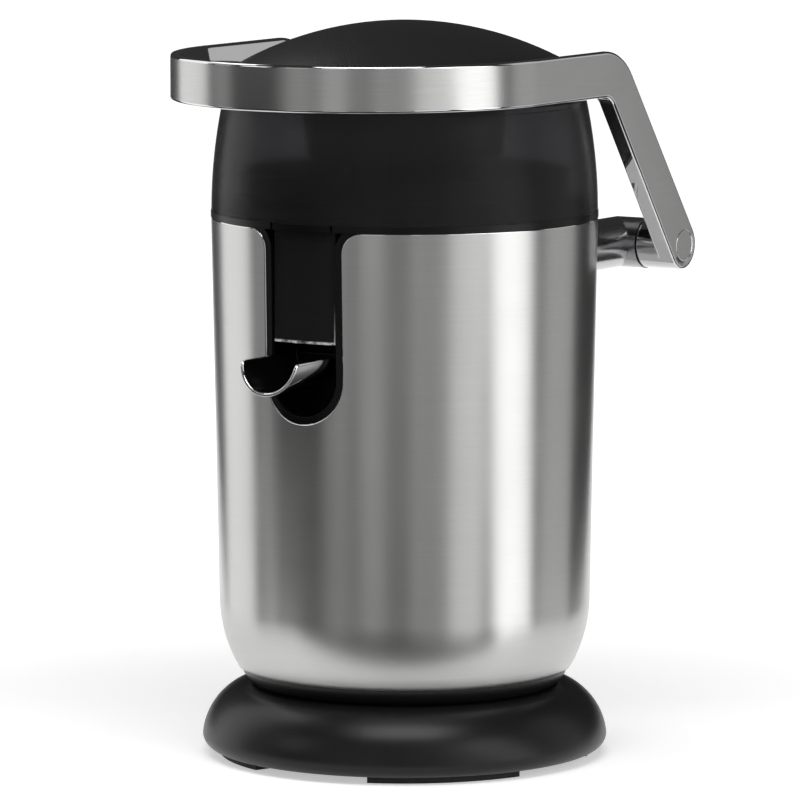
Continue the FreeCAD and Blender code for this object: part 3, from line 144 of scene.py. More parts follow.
def brushed_metal(name, colour, dark, roughness, scratch_mm, strength, anisotropic=0.0):
    """A metal with scratches of the given size along X, Y and Z."""
    material, tree, shader, coords = start_material(name)
    scale = [per_metre(size) for size in scratch_mm]
    grain = add(tree, "ShaderNodeMapping", {"Vector": coords, "Scale": scale})
    scratches = add(tree, "ShaderNodeTexNoise", {"Vector": grain.outputs[0], "Scale": 1.0, "Detail": 4.0})
    clouds = add(tree, "ShaderNodeTexNoise", {"Vector": coords, "Scale": per_metre(SMEAR_MM),
                                              "Detail": 2.0})
    tint = add(tree, "ShaderNodeMix", {"Factor": scratches.outputs["Fac"],
                                       6: linear(dark), 7: linear(colour)}, data_type="RGBA")
    rough = add(tree, "ShaderNodeMapRange", {"Value": clouds.outputs["Fac"], **MIDDLE_OF_NOISE,
                                             "To Min": roughness * 0.92, "To Max": roughness * 1.08})
    bump = add(tree, "ShaderNodeBump", {"Height": scratches.outputs["Fac"], "Strength": strength,
                                        "Distance": SCRATCH_DEPTH * MM})
    feed(tree, shader, Base_Color=tint.outputs[2], Roughness=rough.outputs[0], Normal=bump.outputs[0])
    shader.inputs["Metallic"].default_value = 1.0
    if anisotropic:
        shader.inputs["Anisotropic"].default_value = anisotropic
        upright = add(tree, "ShaderNodeCombineXYZ", {2: 1.0})
        feed(tree, shader, Tangent=upright.outputs[0])
    return material


steel = brushed_metal("brushed stainless steel", "c8c8c7", "b8b8b7", 0.30, (33.3, 33.3, 0.238), 0.06, 0.6)
yoke_steel = brushed_metal("satin stainless steel", "c2c2c1", "b4b4b3", 0.24, (16.7, 16.7, 0.333), 0.03)
chrome = brushed_metal("polished chrome plate", "dededf", "d4d4d6", 0.05, (25, 25, 25), 0.0)
satin_chrome = brushed_metal("satin chrome plate", "c0c0c2", "b4b4b6", 0.20, (25, 25, 25), 0.0)
turned_steel = brushed_metal("turned steel", "b4b4b4", "9c9c9c", 0.3, (2.5, 2.5, 0.25), 0.1)
zinc = brushed_metal("zinc plated steel", "b9b9b2", "a3a49c", 0.38, (3.33, 3.33, 3.33), 0.1)
bronze = brushed_metal("sintered bronze", "b08a4e", "8f6c39", 0.45, (0.667, 0.667, 0.667), 0.15)
print("metals:", steel.name, yoke_steel.name, chrome.name)

# %% [markdown]
# The black parts are moulded ABS with a fine spark-eroded texture in the
# mould. The texture breaks the shine into a soft satin. Noise drives both a
# bump and a small change of roughness. The real grain is about a tenth of a
# millimetre, and it is drawn just under a millimetre wide so that it shows.
#
# The other moulded materials differ in their shine. The bay under the spout
# is wet and glossier, polypropylene and nylon have a soft waxy sheen, and
# rubber and ferrite are dull.

# %% plastics and rubber
LIGHTER = 1.35
MOTTLE_MM = 40


def moulded_plastic(name, colour, roughness, grain_mm, depth_mm, specular=0.5):
    """A plastic or rubber with a grain of the given size and depth."""
    material, tree, shader, coords = start_material(name)
    grain = add(tree, "ShaderNodeTexNoise", {"Vector": coords, "Scale": per_metre(grain_mm),
                                             "Detail": 2.0})
    clouds = add(tree, "ShaderNodeTexNoise", {"Vector": coords, "Scale": per_metre(MOTTLE_MM),
                                              "Detail": 3.0})
    light = [c * LIGHTER for c in linear(colour)[:3]] + [1.0]
    tint = add(tree, "ShaderNodeMix", {"Factor": clouds.outputs["Fac"], 6: linear(colour), 7: light},
               data_type="RGBA")
    rough = add(tree, "ShaderNodeMapRange", {"Value": grain.outputs["Fac"], **MIDDLE_OF_NOISE,
                                             "To Min": roughness * 0.9, "To Max": roughness * 1.1})
    bump = add(tree, "ShaderNodeBump", {"Height": grain.outputs["Fac"], "Strength": 0.5,
                                        "Distance": depth_mm * MM})
    feed(tree, shader, Base_Color=tint.outputs[2], Roughness=rough.outputs[0], Normal=bump.outputs[0])
    shader.inputs["Specular IOR Level"].default_value = specular
    return material


dome_black = moulded_plastic("textured black ABS", "1c1c1d", 0.36, 0.9, 0.3)
base_black = moulded_plastic("satin black ABS", "121213", 0.34, 0.8, 0.015, 0.28)
trim_black = moulded_plastic("black trim ABS", "0a0a0b", 0.30, 0.7, 0.01, 0.2)
bay_black_and_painted_reflection = moulded_plastic("wet bay ABS", "060607", 0.22, 0.7, 0.01, 0.2)
inner_black = moulded_plastic("dark polypropylene", "232325", 0.4, 0.9, 0.02)
nylon = moulded_plastic("white nylon", "dcd9d0", 0.4, 0.9, 0.02)
rubber = moulded_plastic("black rubber", "141414", 0.75, 0.7, 0.03)
ferrite = moulded_plastic("fired ferrite", "2b2b2d", 0.6, 0.9, 0.05)
print("plastics:", dome_black.name, base_black.name)

# %% [markdown]
# The juice bowl is smoked styrene: clear plastic with a grey-black dye. It
# lets a little light through, so the pieces inside show as faint shapes. The
# dye is the colour of the transmission, and faint clouds in it keep the bowl
# from looking painted. A narrow band along the lower edge of the tongue,
# broken into spots, and one along its right edge are painted pale and opaque:
# a painted highlight where these edges catch the light.

# %% smoked plastic
TONGUE_FOOT_Z = 178.5
TONGUE_SIDE_X = 14.6
FOOT_HIGHLIGHT = 0.8
SIDE_HIGHLIGHT = 0.3
HIGHLIGHT_FADE = 0.4
SIDE_HIGHLIGHT_TOP_Z = 196.0
HIGHLIGHT_BREAK_MM = 2.5
SMOKE_MM = 83.3
CLEARNESS = 0.9
FALLING = {"To Min": 1.0, "To Max": 0.0}


def smoked_plastic(name, colour, dark):
    """Clear dyed plastic with a painted highlight on the edges of the tongue."""
    material, tree, shader, coords = start_material(name)
    clouds = add(tree, "ShaderNodeTexNoise", {"Vector": coords, "Scale": per_metre(SMOKE_MM),
                                              "Detail": 2.0})
    tint = add(tree, "ShaderNodeMix", {"Factor": clouds.outputs["Fac"],
                                       6: linear(dark), 7: linear(colour)}, data_type="RGBA")
    place = add(tree, "ShaderNodeSeparateXYZ", {"Vector": coords})
    # The pale bands at the foot and the right side of the tongue are a painted highlight.
    foot_line = TONGUE_FOOT_Z + FOOT_HIGHLIGHT
    side_line = TONGUE_SIDE_X - SIDE_HIGHLIGHT
    foot = add(tree, "ShaderNodeMapRange", {"Value": place.outputs["Z"], "From Min": foot_line * MM,
                                            "From Max": (foot_line + HIGHLIGHT_FADE) * MM, **FALLING})
    side = add(tree, "ShaderNodeMapRange", {"Value": place.outputs["X"], "From Min": side_line * MM,
                                            "From Max": (side_line - HIGHLIGHT_FADE) * MM, **FALLING})
    height = add(tree, "ShaderNodeMapRange", {"Value": place.outputs["Z"], "From Min": TONGUE_FOOT_Z * MM,
                                              "From Max": SIDE_HIGHLIGHT_TOP_Z * MM, **FALLING})
    highlight_noise = add(tree, "ShaderNodeTexNoise", {"Vector": coords, "Scale": per_metre(HIGHLIGHT_BREAK_MM),
                                               "Detail": 2.0})
    highlight_spots = add(tree, "ShaderNodeMapRange", {"Value": highlight_noise.outputs["Fac"], "From Min": 0.38,
                                             "From Max": 0.58, "To Min": 0.25})
    foot = add(tree, "ShaderNodeMath", {0: foot.outputs[0], 1: highlight_spots.outputs[0]}, operation="MULTIPLY")
    side = add(tree, "ShaderNodeMath", {0: side.outputs[0], 1: height.outputs[0]}, operation="MULTIPLY")
    edge = add(tree, "ShaderNodeMath", {0: foot.outputs[0], 1: side.outputs[0]}, operation="MAXIMUM")
    painted_highlight = add(tree, "ShaderNodeMix", {"Factor": edge.outputs[0], 6: tint.outputs[2],
                                       7: linear("f2f2f2")}, data_type="RGBA")
    clear = add(tree, "ShaderNodeMapRange", {"Value": edge.outputs[0],
                                             "To Min": CLEARNESS, "To Max": 0.0})
    feed(tree, shader, Base_Color=painted_highlight.outputs[2], Transmission_Weight=clear.outputs[0])
    shader.inputs["Roughness"].default_value = 0.25
    shader.inputs["IOR"].default_value = 1.15
    shader.inputs["Specular IOR Level"].default_value = 0.15
    return material


# The bowl's material also carries the painted highlight on the tongue's edges.
smoked = smoked_plastic("smoked styrene", "727274", "6a6a6c")
print("clear plastic:", smoked.name)

# %% [markdown]
# Most solids have the right shape already. They are cut into triangles with
# hard edges, so round walls would show facets. Two modifiers help without
# touching the mesh: Weld joins the loose triangles, and Edge Split keeps only
# the edges sharper than 30 degrees hard while the rest shade smoothly. The
# edges of the bowl are also rounded, as a mould leaves them.

# %% finish for each solid
WELD_MM = 0.002
HARD_EDGE = math.radians(30)
BOWL_ROUND_MM = 0.4
BOWL_EDGE = math.radians(50)
FINISHES = {
    "base_shell": base_black, "base_cover": inner_black, "base_screws": zinc, "rubber_feet": rubber,
    "cord_gland": rubber, "lower_collar": trim_black, "body_shell": steel, "top_trim_ring": trim_black,
    "window_frame": trim_black, "inner_housing": inner_black, "spout_bay": bay_black_and_painted_reflection, "spout": chrome,
    "spout_pins": turned_steel, "juice_collector": smoked, "strainer": inner_black,
    "reamer_cone": base_black, "drive_shaft": turned_steel, "shaft_bush": bronze, "shaft_seal": rubber,
    "return_spring": turned_steel, "output_gear": nylon, "idler_gear": nylon, "idler_pin": turned_steel,
    "motor_pinion": turned_steel, "motor_rotor": turned_steel, "motor_can": zinc, "motor_bushes": bronze,
    "motor_magnets": ferrite, "motor_screws": zinc, "gearbox_housing": inner_black,
    "gearbox_cover": inner_black, "gearbox_screws": zinc, "microswitch": inner_black,
    "switch_plunger": nylon, "switch_bracket": zinc, "lever_yoke": yoke_steel, "pivot_bushes": nylon,
    "pivot_pins": turned_steel, "pin_caps": yoke_steel, "hinge_lug_right": satin_chrome,
    "hinge_lug_left": satin_chrome, "hinge_plate": zinc, "lug_bolts": zinc, "press_dome": dome_black,
    "dome_screws": zinc, "press_cup": inner_black,
}
for name, finish in FINISHES.items():
    solid = nodes[name]
    solid.data.materials.clear()
    solid.data.materials.append(finish)
    for face in solid.data.polygons:
        face.use_smooth = True
    weld = solid.modifiers.new("weld", "WELD")
    weld.merge_threshold = WELD_MM * MM
    split = solid.modifiers.new("hard edges", "EDGE_SPLIT")
    split.split_angle = HARD_EDGE
rounded = nodes["juice_collector"].modifiers.new("moulded edges", "BEVEL")
rounded.width = BOWL_ROUND_MM * MM
rounded.segments = 2
rounded.limit_method = "ANGLE"
rounded.angle_limit = BOWL_EDGE
print("solids finished:", len(FINISHES))

# %% [markdown]
# Round pieces are turned, as on a lathe: a line of points gives half of the
# section, and Spin carries it once round the axis of the body. A cylinder
# could be pushed into shape instead, but a section needs only its own few
# points. Curved parts of the line are arcs through three points, which is how
# the solids give them too.

# %% lathe helpers
SEGMENTS = 192
SHARP = math.radians(40)


def bow(start, through, end, count):
    """Points on the arc through three (radius, height) points, in mm."""
    a, b, c = (complex(*point) for point in (start, through, end))
    w = (c - a) / (b - a)
    centre = (b - a) * (w - abs(w) ** 2) / (2j * w.imag) + a
    turn = cmath.phase((c - centre) / (a - centre))
    middle = cmath.phase((b - centre) / (a - centre))
    if middle * turn < 0 or abs(middle) > abs(turn):
        turn -= math.copysign(2 * math.pi, turn)
    points = [centre + (a - centre) * cmath.exp(1j * turn * k / count) for k in range(count + 1)]
    return [(p.real, p.imag) for p in points]


def lathe(section):
    """A ring from a closed section of (radius, height) points, in mm."""
    mesh = bmesh.new()
    corners = [mesh.verts.new(mm(r, AXIS_Y, z)) for r, z in section]
    edges = [mesh.edges.new(pair) for pair in zip(corners, corners[1:] + corners[:1])]
    bmesh.ops.spin(mesh, geom=corners + edges, cent=mm(0, AXIS_Y, 0), axis=(0, 0, 1),
                   angle=2 * math.pi, steps=SEGMENTS, use_merge=True)
    bmesh.ops.recalc_face_normals(mesh, faces=mesh.faces)
    return mesh


def soften(mesh, width_mm, segments=2):
    """Rounds every sharp edge."""
    sharp = [e for e in mesh.edges if e.calc_face_angle(0.0) > SHARP]
    bmesh.ops.bevel(mesh, geom=sharp, offset=width_mm * MM, offset_type="OFFSET", segments=segments,
                    profile=0.5, affect="EDGES", material=-1)


def put(mesh, name, material, slot, body, *replaced):
    """Makes a smooth piece of a bmesh that rides on a body and stands for its solids."""
    data = bpy.data.meshes.new(name)
    mesh.to_mesh(data)
    mesh.free()
    for face in data.polygons:
        face.use_smooth = True
    data.materials.append(material)
    piece = bpy.data.objects.new(name, data)
    bpy.context.scene.collection.objects.link(piece)
    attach(piece, body)
    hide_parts(*replaced)
    piece.modifiers.new("even shading", "WEIGHTED_NORMAL")
    print(name, "faces:", len(data.polygons))
    return piece


print("lathe ready, steps in a turn:", SEGMENTS)

# %% [markdown]
# Openings are punched. A flat outline is drawn out into a solid slug, and a
# Boolean takes the slug away from the wall, as a punch does. Moving the wall's
# own corners to the outline would bend the wall; the Boolean leaves it round.
# The very short edges that it leaves are dissolved, because they would spoil a
# bevel.

# %% punch helpers
SHORTEST_EDGE = 0.3


def carve(mesh, slug, operation="DIFFERENCE"):
    """The first bmesh with the second taken away, or what the two share."""
    work = []
    for part in (mesh, slug):
        data = bpy.data.meshes.new("work")
        part.to_mesh(data)
        part.free()
        work.append(bpy.data.objects.new("work", data))
        bpy.context.scene.collection.objects.link(work[-1])
    cut = work[0].modifiers.new("punch", "BOOLEAN")
    cut.object = work[1]
    cut.operation = operation
    cut.solver = "EXACT"
    result = bmesh.new()
    result.from_object(work[0], bpy.context.evaluated_depsgraph_get())
    for part in work:
        data = part.data
        bpy.data.objects.remove(part)
        bpy.data.meshes.remove(data)
    bmesh.ops.dissolve_degenerate(result, edges=result.edges, dist=SHORTEST_EDGE * MM)
    return result


def drawn_out(outline, front_y, back_y):
    """A solid from a closed outline of (x, z) points, drawn from the front to the back."""
    mesh = bmesh.new()
    face = mesh.faces.new([mesh.verts.new(mm(x, AXIS_Y + front_y, z)) for x, z in outline])
    grown = bmesh.ops.extrude_face_region(mesh, geom=[face])["geom"]
    moved = [item for item in grown if isinstance(item, bmesh.types.BMVert)]
    bmesh.ops.translate(mesh, verts=moved, vec=mm(0, back_y - front_y, 0))
    bmesh.ops.recalc_face_normals(mesh, faces=mesh.faces)
    return mesh


print("punch ready, shortest edge in mm:", SHORTEST_EDGE)

# %% [markdown]
# The body is one sheet of steel, rolled and drawn in at the foot. The window
# for the spout is punched out of it: a slot with a round foot whose upper
# corners flare out to the rim. The raw edges are then broken and polished, so
# that they catch a thin line of light.

# %% steel body
STEEL_T = 1.0
STEEL_TOP = (80.0, 224.2)
STEEL_WAIST = (77.0, 66.0)
STEEL_CURVE = (75.0, 50.6)
STEEL_FOOT = (69.0, 36.4)
WINDOW_HALF_W = 18.2
WINDOW_FOOT_Z = 145.5
WINDOW_FLARE = 8.5
EDGE_BREAK = 0.5
PUNCH_FRONT_Y, PUNCH_BACK_Y = -95, -50
PUNCH_ABOVE = 5
BELOW_WINDOW = 2
WALL_FACE_DOT = 0.97
FOOT_STEPS, CURVE_STEPS, FLARE_STEPS = 24, 16, 8


def window_outline(half_w, foot_z, flare, top_z):
    """The slot with its round foot and flared corners, as (x, z) points."""
    mid_z = foot_z + half_w
    bend = flare * (1 - math.sqrt(0.5))
    foot = bow((half_w, mid_z), (0, foot_z), (-half_w, mid_z), FOOT_STEPS)
    left = bow((-half_w, top_z - flare), (-half_w - bend, top_z - bend), (-half_w - flare, top_z),
               FLARE_STEPS)
    right = [(-x, z) for x, z in reversed(left)]
    above = [(-half_w - flare, top_z + PUNCH_ABOVE), (half_w + flare, top_z + PUNCH_ABOVE)]
    return foot + left + above + right


outside = bow(STEEL_FOOT, STEEL_CURVE, STEEL_WAIST, CURVE_STEPS) + [STEEL_TOP]
inside = [(r - STEEL_T, z) for r, z in reversed(outside)]
window_line = window_outline(WINDOW_HALF_W, WINDOW_FOOT_Z, WINDOW_FLARE, STEEL_TOP[1])
steel_mesh = carve(lathe(outside + inside), drawn_out(window_line, PUNCH_FRONT_Y, PUNCH_BACK_Y))
soften(steel_mesh, EDGE_BREAK, segments=1)
steel_body = put(steel_mesh, "steel_body", steel, "brushed_stainless", "stand", "body_shell")
steel_body.data.materials.append(chrome)
for face in steel_body.data.polygons:
    outward = (face.center - mm(0, AXIS_Y, 0)).to_2d().normalized()
    is_wall = abs(face.normal.to_2d().dot(outward)) >= WALL_FACE_DOT
    if not is_wall and face.center.z > (WINDOW_FOOT_Z - BELOW_WINDOW) * MM:
        face.material_index = 1
        face.use_smooth = False

# %% [markdown]
# A black frame lines the window, and it keeps one width all round, also along
# the flare. It is a strip of a thin cone: the cone is turned, the window's
# outline keeps the strip, and the same outline 3 mm further in opens it. The
# frame lies a little behind the face of the steel, so the bright cut edge of
# the steel shows round it.

# %% window frame
FRAME_W = 3.0
FRAME_T = 2.5
FRAME_BACK = 0.5
FRAME_PLAY = 0.15
FRAME_BREAK = 0.15
FRAME_BELOW = 1
FRAME_TOP_GAP = 0.1
PUNCH_PAST = 1


def steel_radius(z):
    """Outer radius of the straight part of the steel at a height."""
    part = (z - STEEL_WAIST[1]) / (STEEL_TOP[1] - STEEL_WAIST[1])
    return STEEL_WAIST[0] + part * (STEEL_TOP[0] - STEEL_WAIST[0])


low, high = WINDOW_FOOT_Z - FRAME_BELOW, STEEL_TOP[1] - FRAME_TOP_GAP
front, back = FRAME_BACK, FRAME_BACK + FRAME_T
strip = [(steel_radius(z) - inset, z) for z, inset in
         ((low, front), (high, front), (high, back), (low, back))]
outer_line = window_outline(WINDOW_HALF_W - FRAME_PLAY, WINDOW_FOOT_Z + FRAME_PLAY,
                            WINDOW_FLARE + FRAME_PLAY, STEEL_TOP[1] + FRAME_PLAY)
inner_line = window_outline(WINDOW_HALF_W - FRAME_W, WINDOW_FOOT_Z + FRAME_W,
                            WINDOW_FLARE + FRAME_W, STEEL_TOP[1] + FRAME_W)
frame_mesh = carve(lathe(strip), drawn_out(outer_line, PUNCH_FRONT_Y, PUNCH_BACK_Y), "INTERSECT")
opening = drawn_out(inner_line, PUNCH_FRONT_Y - PUNCH_PAST, PUNCH_BACK_Y + PUNCH_PAST)
frame_mesh = carve(frame_mesh, opening)
soften(frame_mesh, FRAME_BREAK)
put(frame_mesh, "window_trim", trim_black, "black_trim", "stand", "window_frame")

# %% [markdown]
# Below the steel a black collar carries its curve on down to the base. It is
# set back by about the thickness of the steel, so that a dark line parts the
# two. One short section on the lathe is all it needs.

# %% collar
COLLAR_TOP = (68.2, 37.4)
COLLAR_CURVE = (66.6, 33.2)
COLLAR_FOOT = (63.2, 29.6)
COLLAR_BORE = 56.0
COLLAR_STEPS = 8

collar_out = bow(COLLAR_FOOT, COLLAR_CURVE, COLLAR_TOP, COLLAR_STEPS)
collar_mesh = lathe(collar_out + [(COLLAR_BORE, COLLAR_TOP[1]), (COLLAR_BORE, COLLAR_FOOT[1])])
put(collar_mesh, "lower_ring", base_black, "dark_plastic", "stand", "lower_collar")

# %% [markdown]
# The spout is a half-round trough of polished metal. One solid taken from
# another gives the trough with its closed rear end. Flat cuts then slope the
# lip and round its upper corners, and the edges are softened, because the
# thin bright line round the mouth is light on a rounded edge. The inside faces
# are painted the bay's black: a painted reflection of the dark bay round it.

# %% spout
SPOUT_R = 13.6
SPOUT_WALL = 1.4
SPOUT_RIM_Z = 173.4
SPOUT_TIP_Y = -106.4
SPOUT_REAR_Y = -62.5
LIP_LEAN = math.radians(14)
LIP_ROUND = 3.5
LIP_BREAK = 0.5
ROUND_CUTS = 5
TROUGH_STEPS = 48
TIP_SPARE = 1
CORE_PAST = 9
CORE_RISE = 5
PAINTED_DARK_SKIN = 0.02


def half_round(radius, rise):
    """A half disc below the spout's rim, raised above it by the rise."""
    arc = bow((radius, SPOUT_RIM_Z), (0, SPOUT_RIM_Z - radius), (-radius, SPOUT_RIM_Z), TROUGH_STEPS)
    raised = [(-radius, SPOUT_RIM_Z + rise), (radius, SPOUT_RIM_Z + rise)]
    return arc + raised if rise else arc


def slice_off(mesh, point, normal):
    """Cuts away what lies beyond a plane and closes the cut."""
    geom = mesh.verts[:] + mesh.edges[:] + mesh.faces[:]
    cut = bmesh.ops.bisect_plane(mesh, geom=geom, plane_co=point, plane_no=normal, clear_outer=True)
    rim = [item for item in cut["geom_cut"] if isinstance(item, bmesh.types.BMEdge)]
    bmesh.ops.holes_fill(mesh, edges=rim)


inner_r = SPOUT_R - SPOUT_WALL
block = drawn_out(half_round(SPOUT_R, 0), SPOUT_TIP_Y - TIP_SPARE, SPOUT_REAR_Y)
core = drawn_out(half_round(inner_r, CORE_RISE), SPOUT_TIP_Y - CORE_PAST, SPOUT_REAR_Y - SPOUT_WALL)
spout_mesh = carve(block, core)
up = Vector((0, 0, 1))
lip = Vector((0, -math.cos(LIP_LEAN), math.sin(LIP_LEAN)))
slice_off(spout_mesh, mm(0, AXIS_Y + SPOUT_TIP_Y, SPOUT_RIM_Z - SPOUT_R), lip)
corner = mm(0, AXIS_Y + SPOUT_TIP_Y + SPOUT_R * math.tan(LIP_LEAN), SPOUT_RIM_Z)
centre = corner - (up + lip) * LIP_ROUND * MM / (1 + up.dot(lip))
for step in range(1, ROUND_CUTS):
    way = up.slerp(lip, step / ROUND_CUTS)
    slice_off(spout_mesh, centre + way * LIP_ROUND * MM, way)
soften(spout_mesh, LIP_BREAK, segments=4)
spout = put(spout_mesh, "spout_trough", chrome, "polished_chrome", "pouring_spout", "spout")
# The bay's black on the inside faces is a painted reflection of the dark bay, which the polished metal
# would mirror.
spout.data.materials.append(bay_black_and_painted_reflection)
for face in spout.data.polygons:
    centre = face.center
    depth = math.hypot(centre.x, centre.z - SPOUT_RIM_Z * MM)
    if depth < (inner_r + PAINTED_DARK_SKIN) * MM:
        face.material_index = 1

# %% [markdown]
# The lever is one bent bar: a half ring round the front, two level arms, an
# elbow and a slope down to the hinge. A curve with a profile could make it,
# but it may twist the section at the elbow. So one section of four corners is
# carried along the path with Spin and Extrude, which keep it upright. Each
# helper makes one step of the path and hands on the loop at its end.

# %% path helpers


def tail(geom):
    """The loop of corners and edges at the end of a step."""
    verts = [item for item in geom if isinstance(item, bmesh.types.BMVert)]
    edges = dict.fromkeys(edge for v in verts for edge in v.link_edges if edge.other_vert(v) in verts)
    return verts + list(edges)


def swing(mesh, loop, centre, axis, angle, steps):
    """Carries a loop round an axis and returns the loop at the end."""
    spun = bmesh.ops.spin(mesh, geom=loop, cent=centre, axis=axis, angle=angle, steps=steps)
    return tail(spun["geom_last"])


def draw(mesh, loop, way):
    """Carries a loop straight on and returns the loop at the end."""
    edges = [item for item in loop if isinstance(item, bmesh.types.BMEdge)]
    end = tail(bmesh.ops.extrude_edge_only(mesh, edges=edges)["geom"])
    bmesh.ops.translate(mesh, verts=[v for v in end if isinstance(v, bmesh.types.BMVert)], vec=way)
    return end


print("path helpers ready")

# %% [markdown]
# The path starts at the front and runs along the right arm to a half circle
# round the hinge, and the left half is the mirror image of the right. The
# inner wall leans out a little towards the top.

# %% lever bar
BAND_LOW, BAND_HIGH = 274.4, 293.4
BAND_IN, BAND_OUT = 73.1, 80.8
BAND_LEAN = 4.2
BAND_ROUND = 1.2
YOKE_Y = -28.3
ELBOW_R = 18.0
ARM_SLOPE = math.radians(36.6)
ARM_W = 20.4
PIVOT_Y, PIVOT_Z = 91.9, 208.3
OUTSIDE_MARGIN = 1
MERGE_MM = 0.01
RING_STEPS, ELBOW_STEPS, END_STEPS = 64, 16, 32

across = Vector((0, math.cos(ARM_SLOPE), math.sin(ARM_SLOPE)))
bend = math.pi / 2 - ARM_SLOPE
mid_z = (BAND_LOW + BAND_HIGH) / 2
elbow_y = PIVOT_Y - math.tan(ARM_SLOPE) * (mid_z - PIVOT_Z) - ELBOW_R * math.tan(bend / 2)
elbow = mm(0, AXIS_Y + elbow_y, mid_z - ELBOW_R)
pivot = mm(0, AXIS_Y + PIVOT_Y, PIVOT_Z)

yoke_mesh = bmesh.new()
section = ((BAND_OUT, BAND_LOW), (BAND_OUT, BAND_HIGH),
           (BAND_IN + BAND_LEAN, BAND_HIGH), (BAND_IN, BAND_LOW))
corners = [yoke_mesh.verts.new(mm(0, AXIS_Y + YOKE_Y - r, z)) for r, z in section]
for pair in zip(corners, corners[1:] + corners[:1]):
    yoke_mesh.edges.new(pair)
loop = swing(yoke_mesh, tail(corners), mm(0, AXIS_Y + YOKE_Y, 0), (0, 0, 1), math.pi / 2, RING_STEPS)
loop = draw(yoke_mesh, loop, mm(0, elbow_y - YOKE_Y, 0))
loop = swing(yoke_mesh, loop, elbow, (1, 0, 0), -bend, ELBOW_STEPS)
loop = draw(yoke_mesh, loop, Vector())
above = []
for corner in [item for item in loop if isinstance(item, bmesh.types.BMVert)]:
    outer_side = (corner.co - elbow).yz.length > ELBOW_R * MM
    above += [corner] if outer_side else []
    end = pivot + across * (ARM_W / 2 * MM) * (1 if outer_side else -1)
    outside_x = corner.co.x > (BAND_OUT - OUTSIDE_MARGIN) * MM
    corner.co = Vector(((BAND_OUT if outside_x else BAND_IN) * MM, end.y, end.z))
edges = [item for item in loop if isinstance(item, bmesh.types.BMEdge)]
sides = [edge for edge in edges if len(set(edge.verts) & set(above)) == 1]
middle = [bmesh.utils.edge_split(side, side.verts[0], 0.5)[1] for side in sides]
swing(yoke_mesh, tail(above + middle), pivot, (1, 0, 0), -math.pi, END_STEPS)
half = yoke_mesh.verts[:] + yoke_mesh.edges[:] + yoke_mesh.faces[:]
bmesh.ops.mirror(yoke_mesh, geom=half, axis="X")
bmesh.ops.remove_doubles(yoke_mesh, verts=yoke_mesh.verts, dist=MERGE_MM * MM)
bmesh.ops.recalc_face_normals(yoke_mesh, faces=yoke_mesh.faces)
soften(yoke_mesh, BAND_ROUND, segments=4)
print("lever bar faces:", len(yoke_mesh.faces))

# %% [markdown]
# At the hinge each arm has a recess for the cover of its pin and a round
# collar on its inner side. The recess is punched and the collar is joined on.
# The wide outer faces of the lever are brushed; the rounded edges and inner
# faces are polished.

# %% lever hinge
CAP_RECESS_R = 6.8
CAP_SEAT_X = 79.6
CAP_CUT_PAST = 5
HINGE_COLLAR_X = 63.3
COLLAR_SINK = 3
BAR_STEPS = 64
BRUSHED_DOT = 0.995
BRUSHED_SKIN = 0.3


def bar_across(radius, x0, x1):
    """A round bar that lies along X on the axis of the hinge."""
    mesh = bmesh.new()
    middle = mm((x0 + x1) / 2, AXIS_Y + PIVOT_Y, PIVOT_Z)
    turn = Matrix.Translation(middle) @ Matrix.Rotation(math.pi / 2, 4, "Y")
    bmesh.ops.create_cone(mesh, cap_ends=True, segments=BAR_STEPS, radius1=radius * MM,
                          radius2=radius * MM, depth=abs(x1 - x0) * MM, matrix=turn)
    return mesh


def join(mesh, other):
    """Adds the second bmesh to the first."""
    data = bpy.data.meshes.new("work")
    other.to_mesh(data)
    other.free()
    mesh.from_mesh(data)
    bpy.data.meshes.remove(data)


for side in (1, -1):
    recess = bar_across(CAP_RECESS_R, side * CAP_SEAT_X, side * (BAND_OUT + CAP_CUT_PAST))
    yoke_mesh = carve(yoke_mesh, recess)
for side in (1, -1):
    hinge_collar = bar_across(ARM_W / 2, side * HINGE_COLLAR_X, side * (BAND_IN + COLLAR_SINK))
    soften(hinge_collar, EDGE_BREAK)
    join(yoke_mesh, hinge_collar)
lever = put(yoke_mesh, "lever_bar", yoke_steel, "satin_aluminium", "lever", "lever_yoke")
lever.data.materials.append(chrome)
for face in lever.data.polygons:
    where = face.center - mm(0, AXIS_Y + YOKE_Y, 0)
    reach = Vector((where.x, min(where.y, 0), 0))
    faces_out = face.normal.dot(reach.normalized()) >= BRUSHED_DOT
    if not faces_out or reach.length < (BAND_OUT - BRUSHED_SKIN) * MM:
        face.material_index = 1

# %% [markdown]
# Under the flange of the shaft sits the return spring. Its solid is a plain
# sleeve, and the coil is drawn here: a small circle of wire that Spin carries
# round the shaft while it climbs at an even pitch. The real coil shortens when
# the cone is pressed; here it keeps one shape and rides with the gear wheel.

# %% return spring
SPRING_R = 5.8
WIRE_R = 0.5
SPRING_FOOT_Z = 192.3
SPRING_TOP_Z = 202.7
SPRING_TURNS = 4.5
STEPS_PER_TURN = 32
WIRE_STEPS = 12

spring_mesh = bmesh.new()
wire_start = Matrix.Translation(mm(SPRING_R, AXIS_Y, SPRING_FOOT_Z + WIRE_R))
wire_start = wire_start @ Matrix.Rotation(math.pi / 2, 4, "X")
bmesh.ops.create_circle(spring_mesh, segments=WIRE_STEPS, radius=WIRE_R * MM, matrix=wire_start)
steps = int(SPRING_TURNS * STEPS_PER_TURN)
climb = SPRING_TOP_Z - SPRING_FOOT_Z - 2 * WIRE_R
bmesh.ops.spin(spring_mesh, geom=spring_mesh.verts[:] + spring_mesh.edges[:], cent=mm(0, AXIS_Y, 0),
               axis=(0, 0, 1), dvec=mm(0, 0, climb / steps), angle=SPRING_TURNS * 2 * math.pi, steps=steps)
bmesh.ops.holes_fill(spring_mesh, edges=[edge for edge in spring_mesh.edges if edge.is_boundary])
bmesh.ops.recalc_face_normals(spring_mesh, faces=spring_mesh.faces)
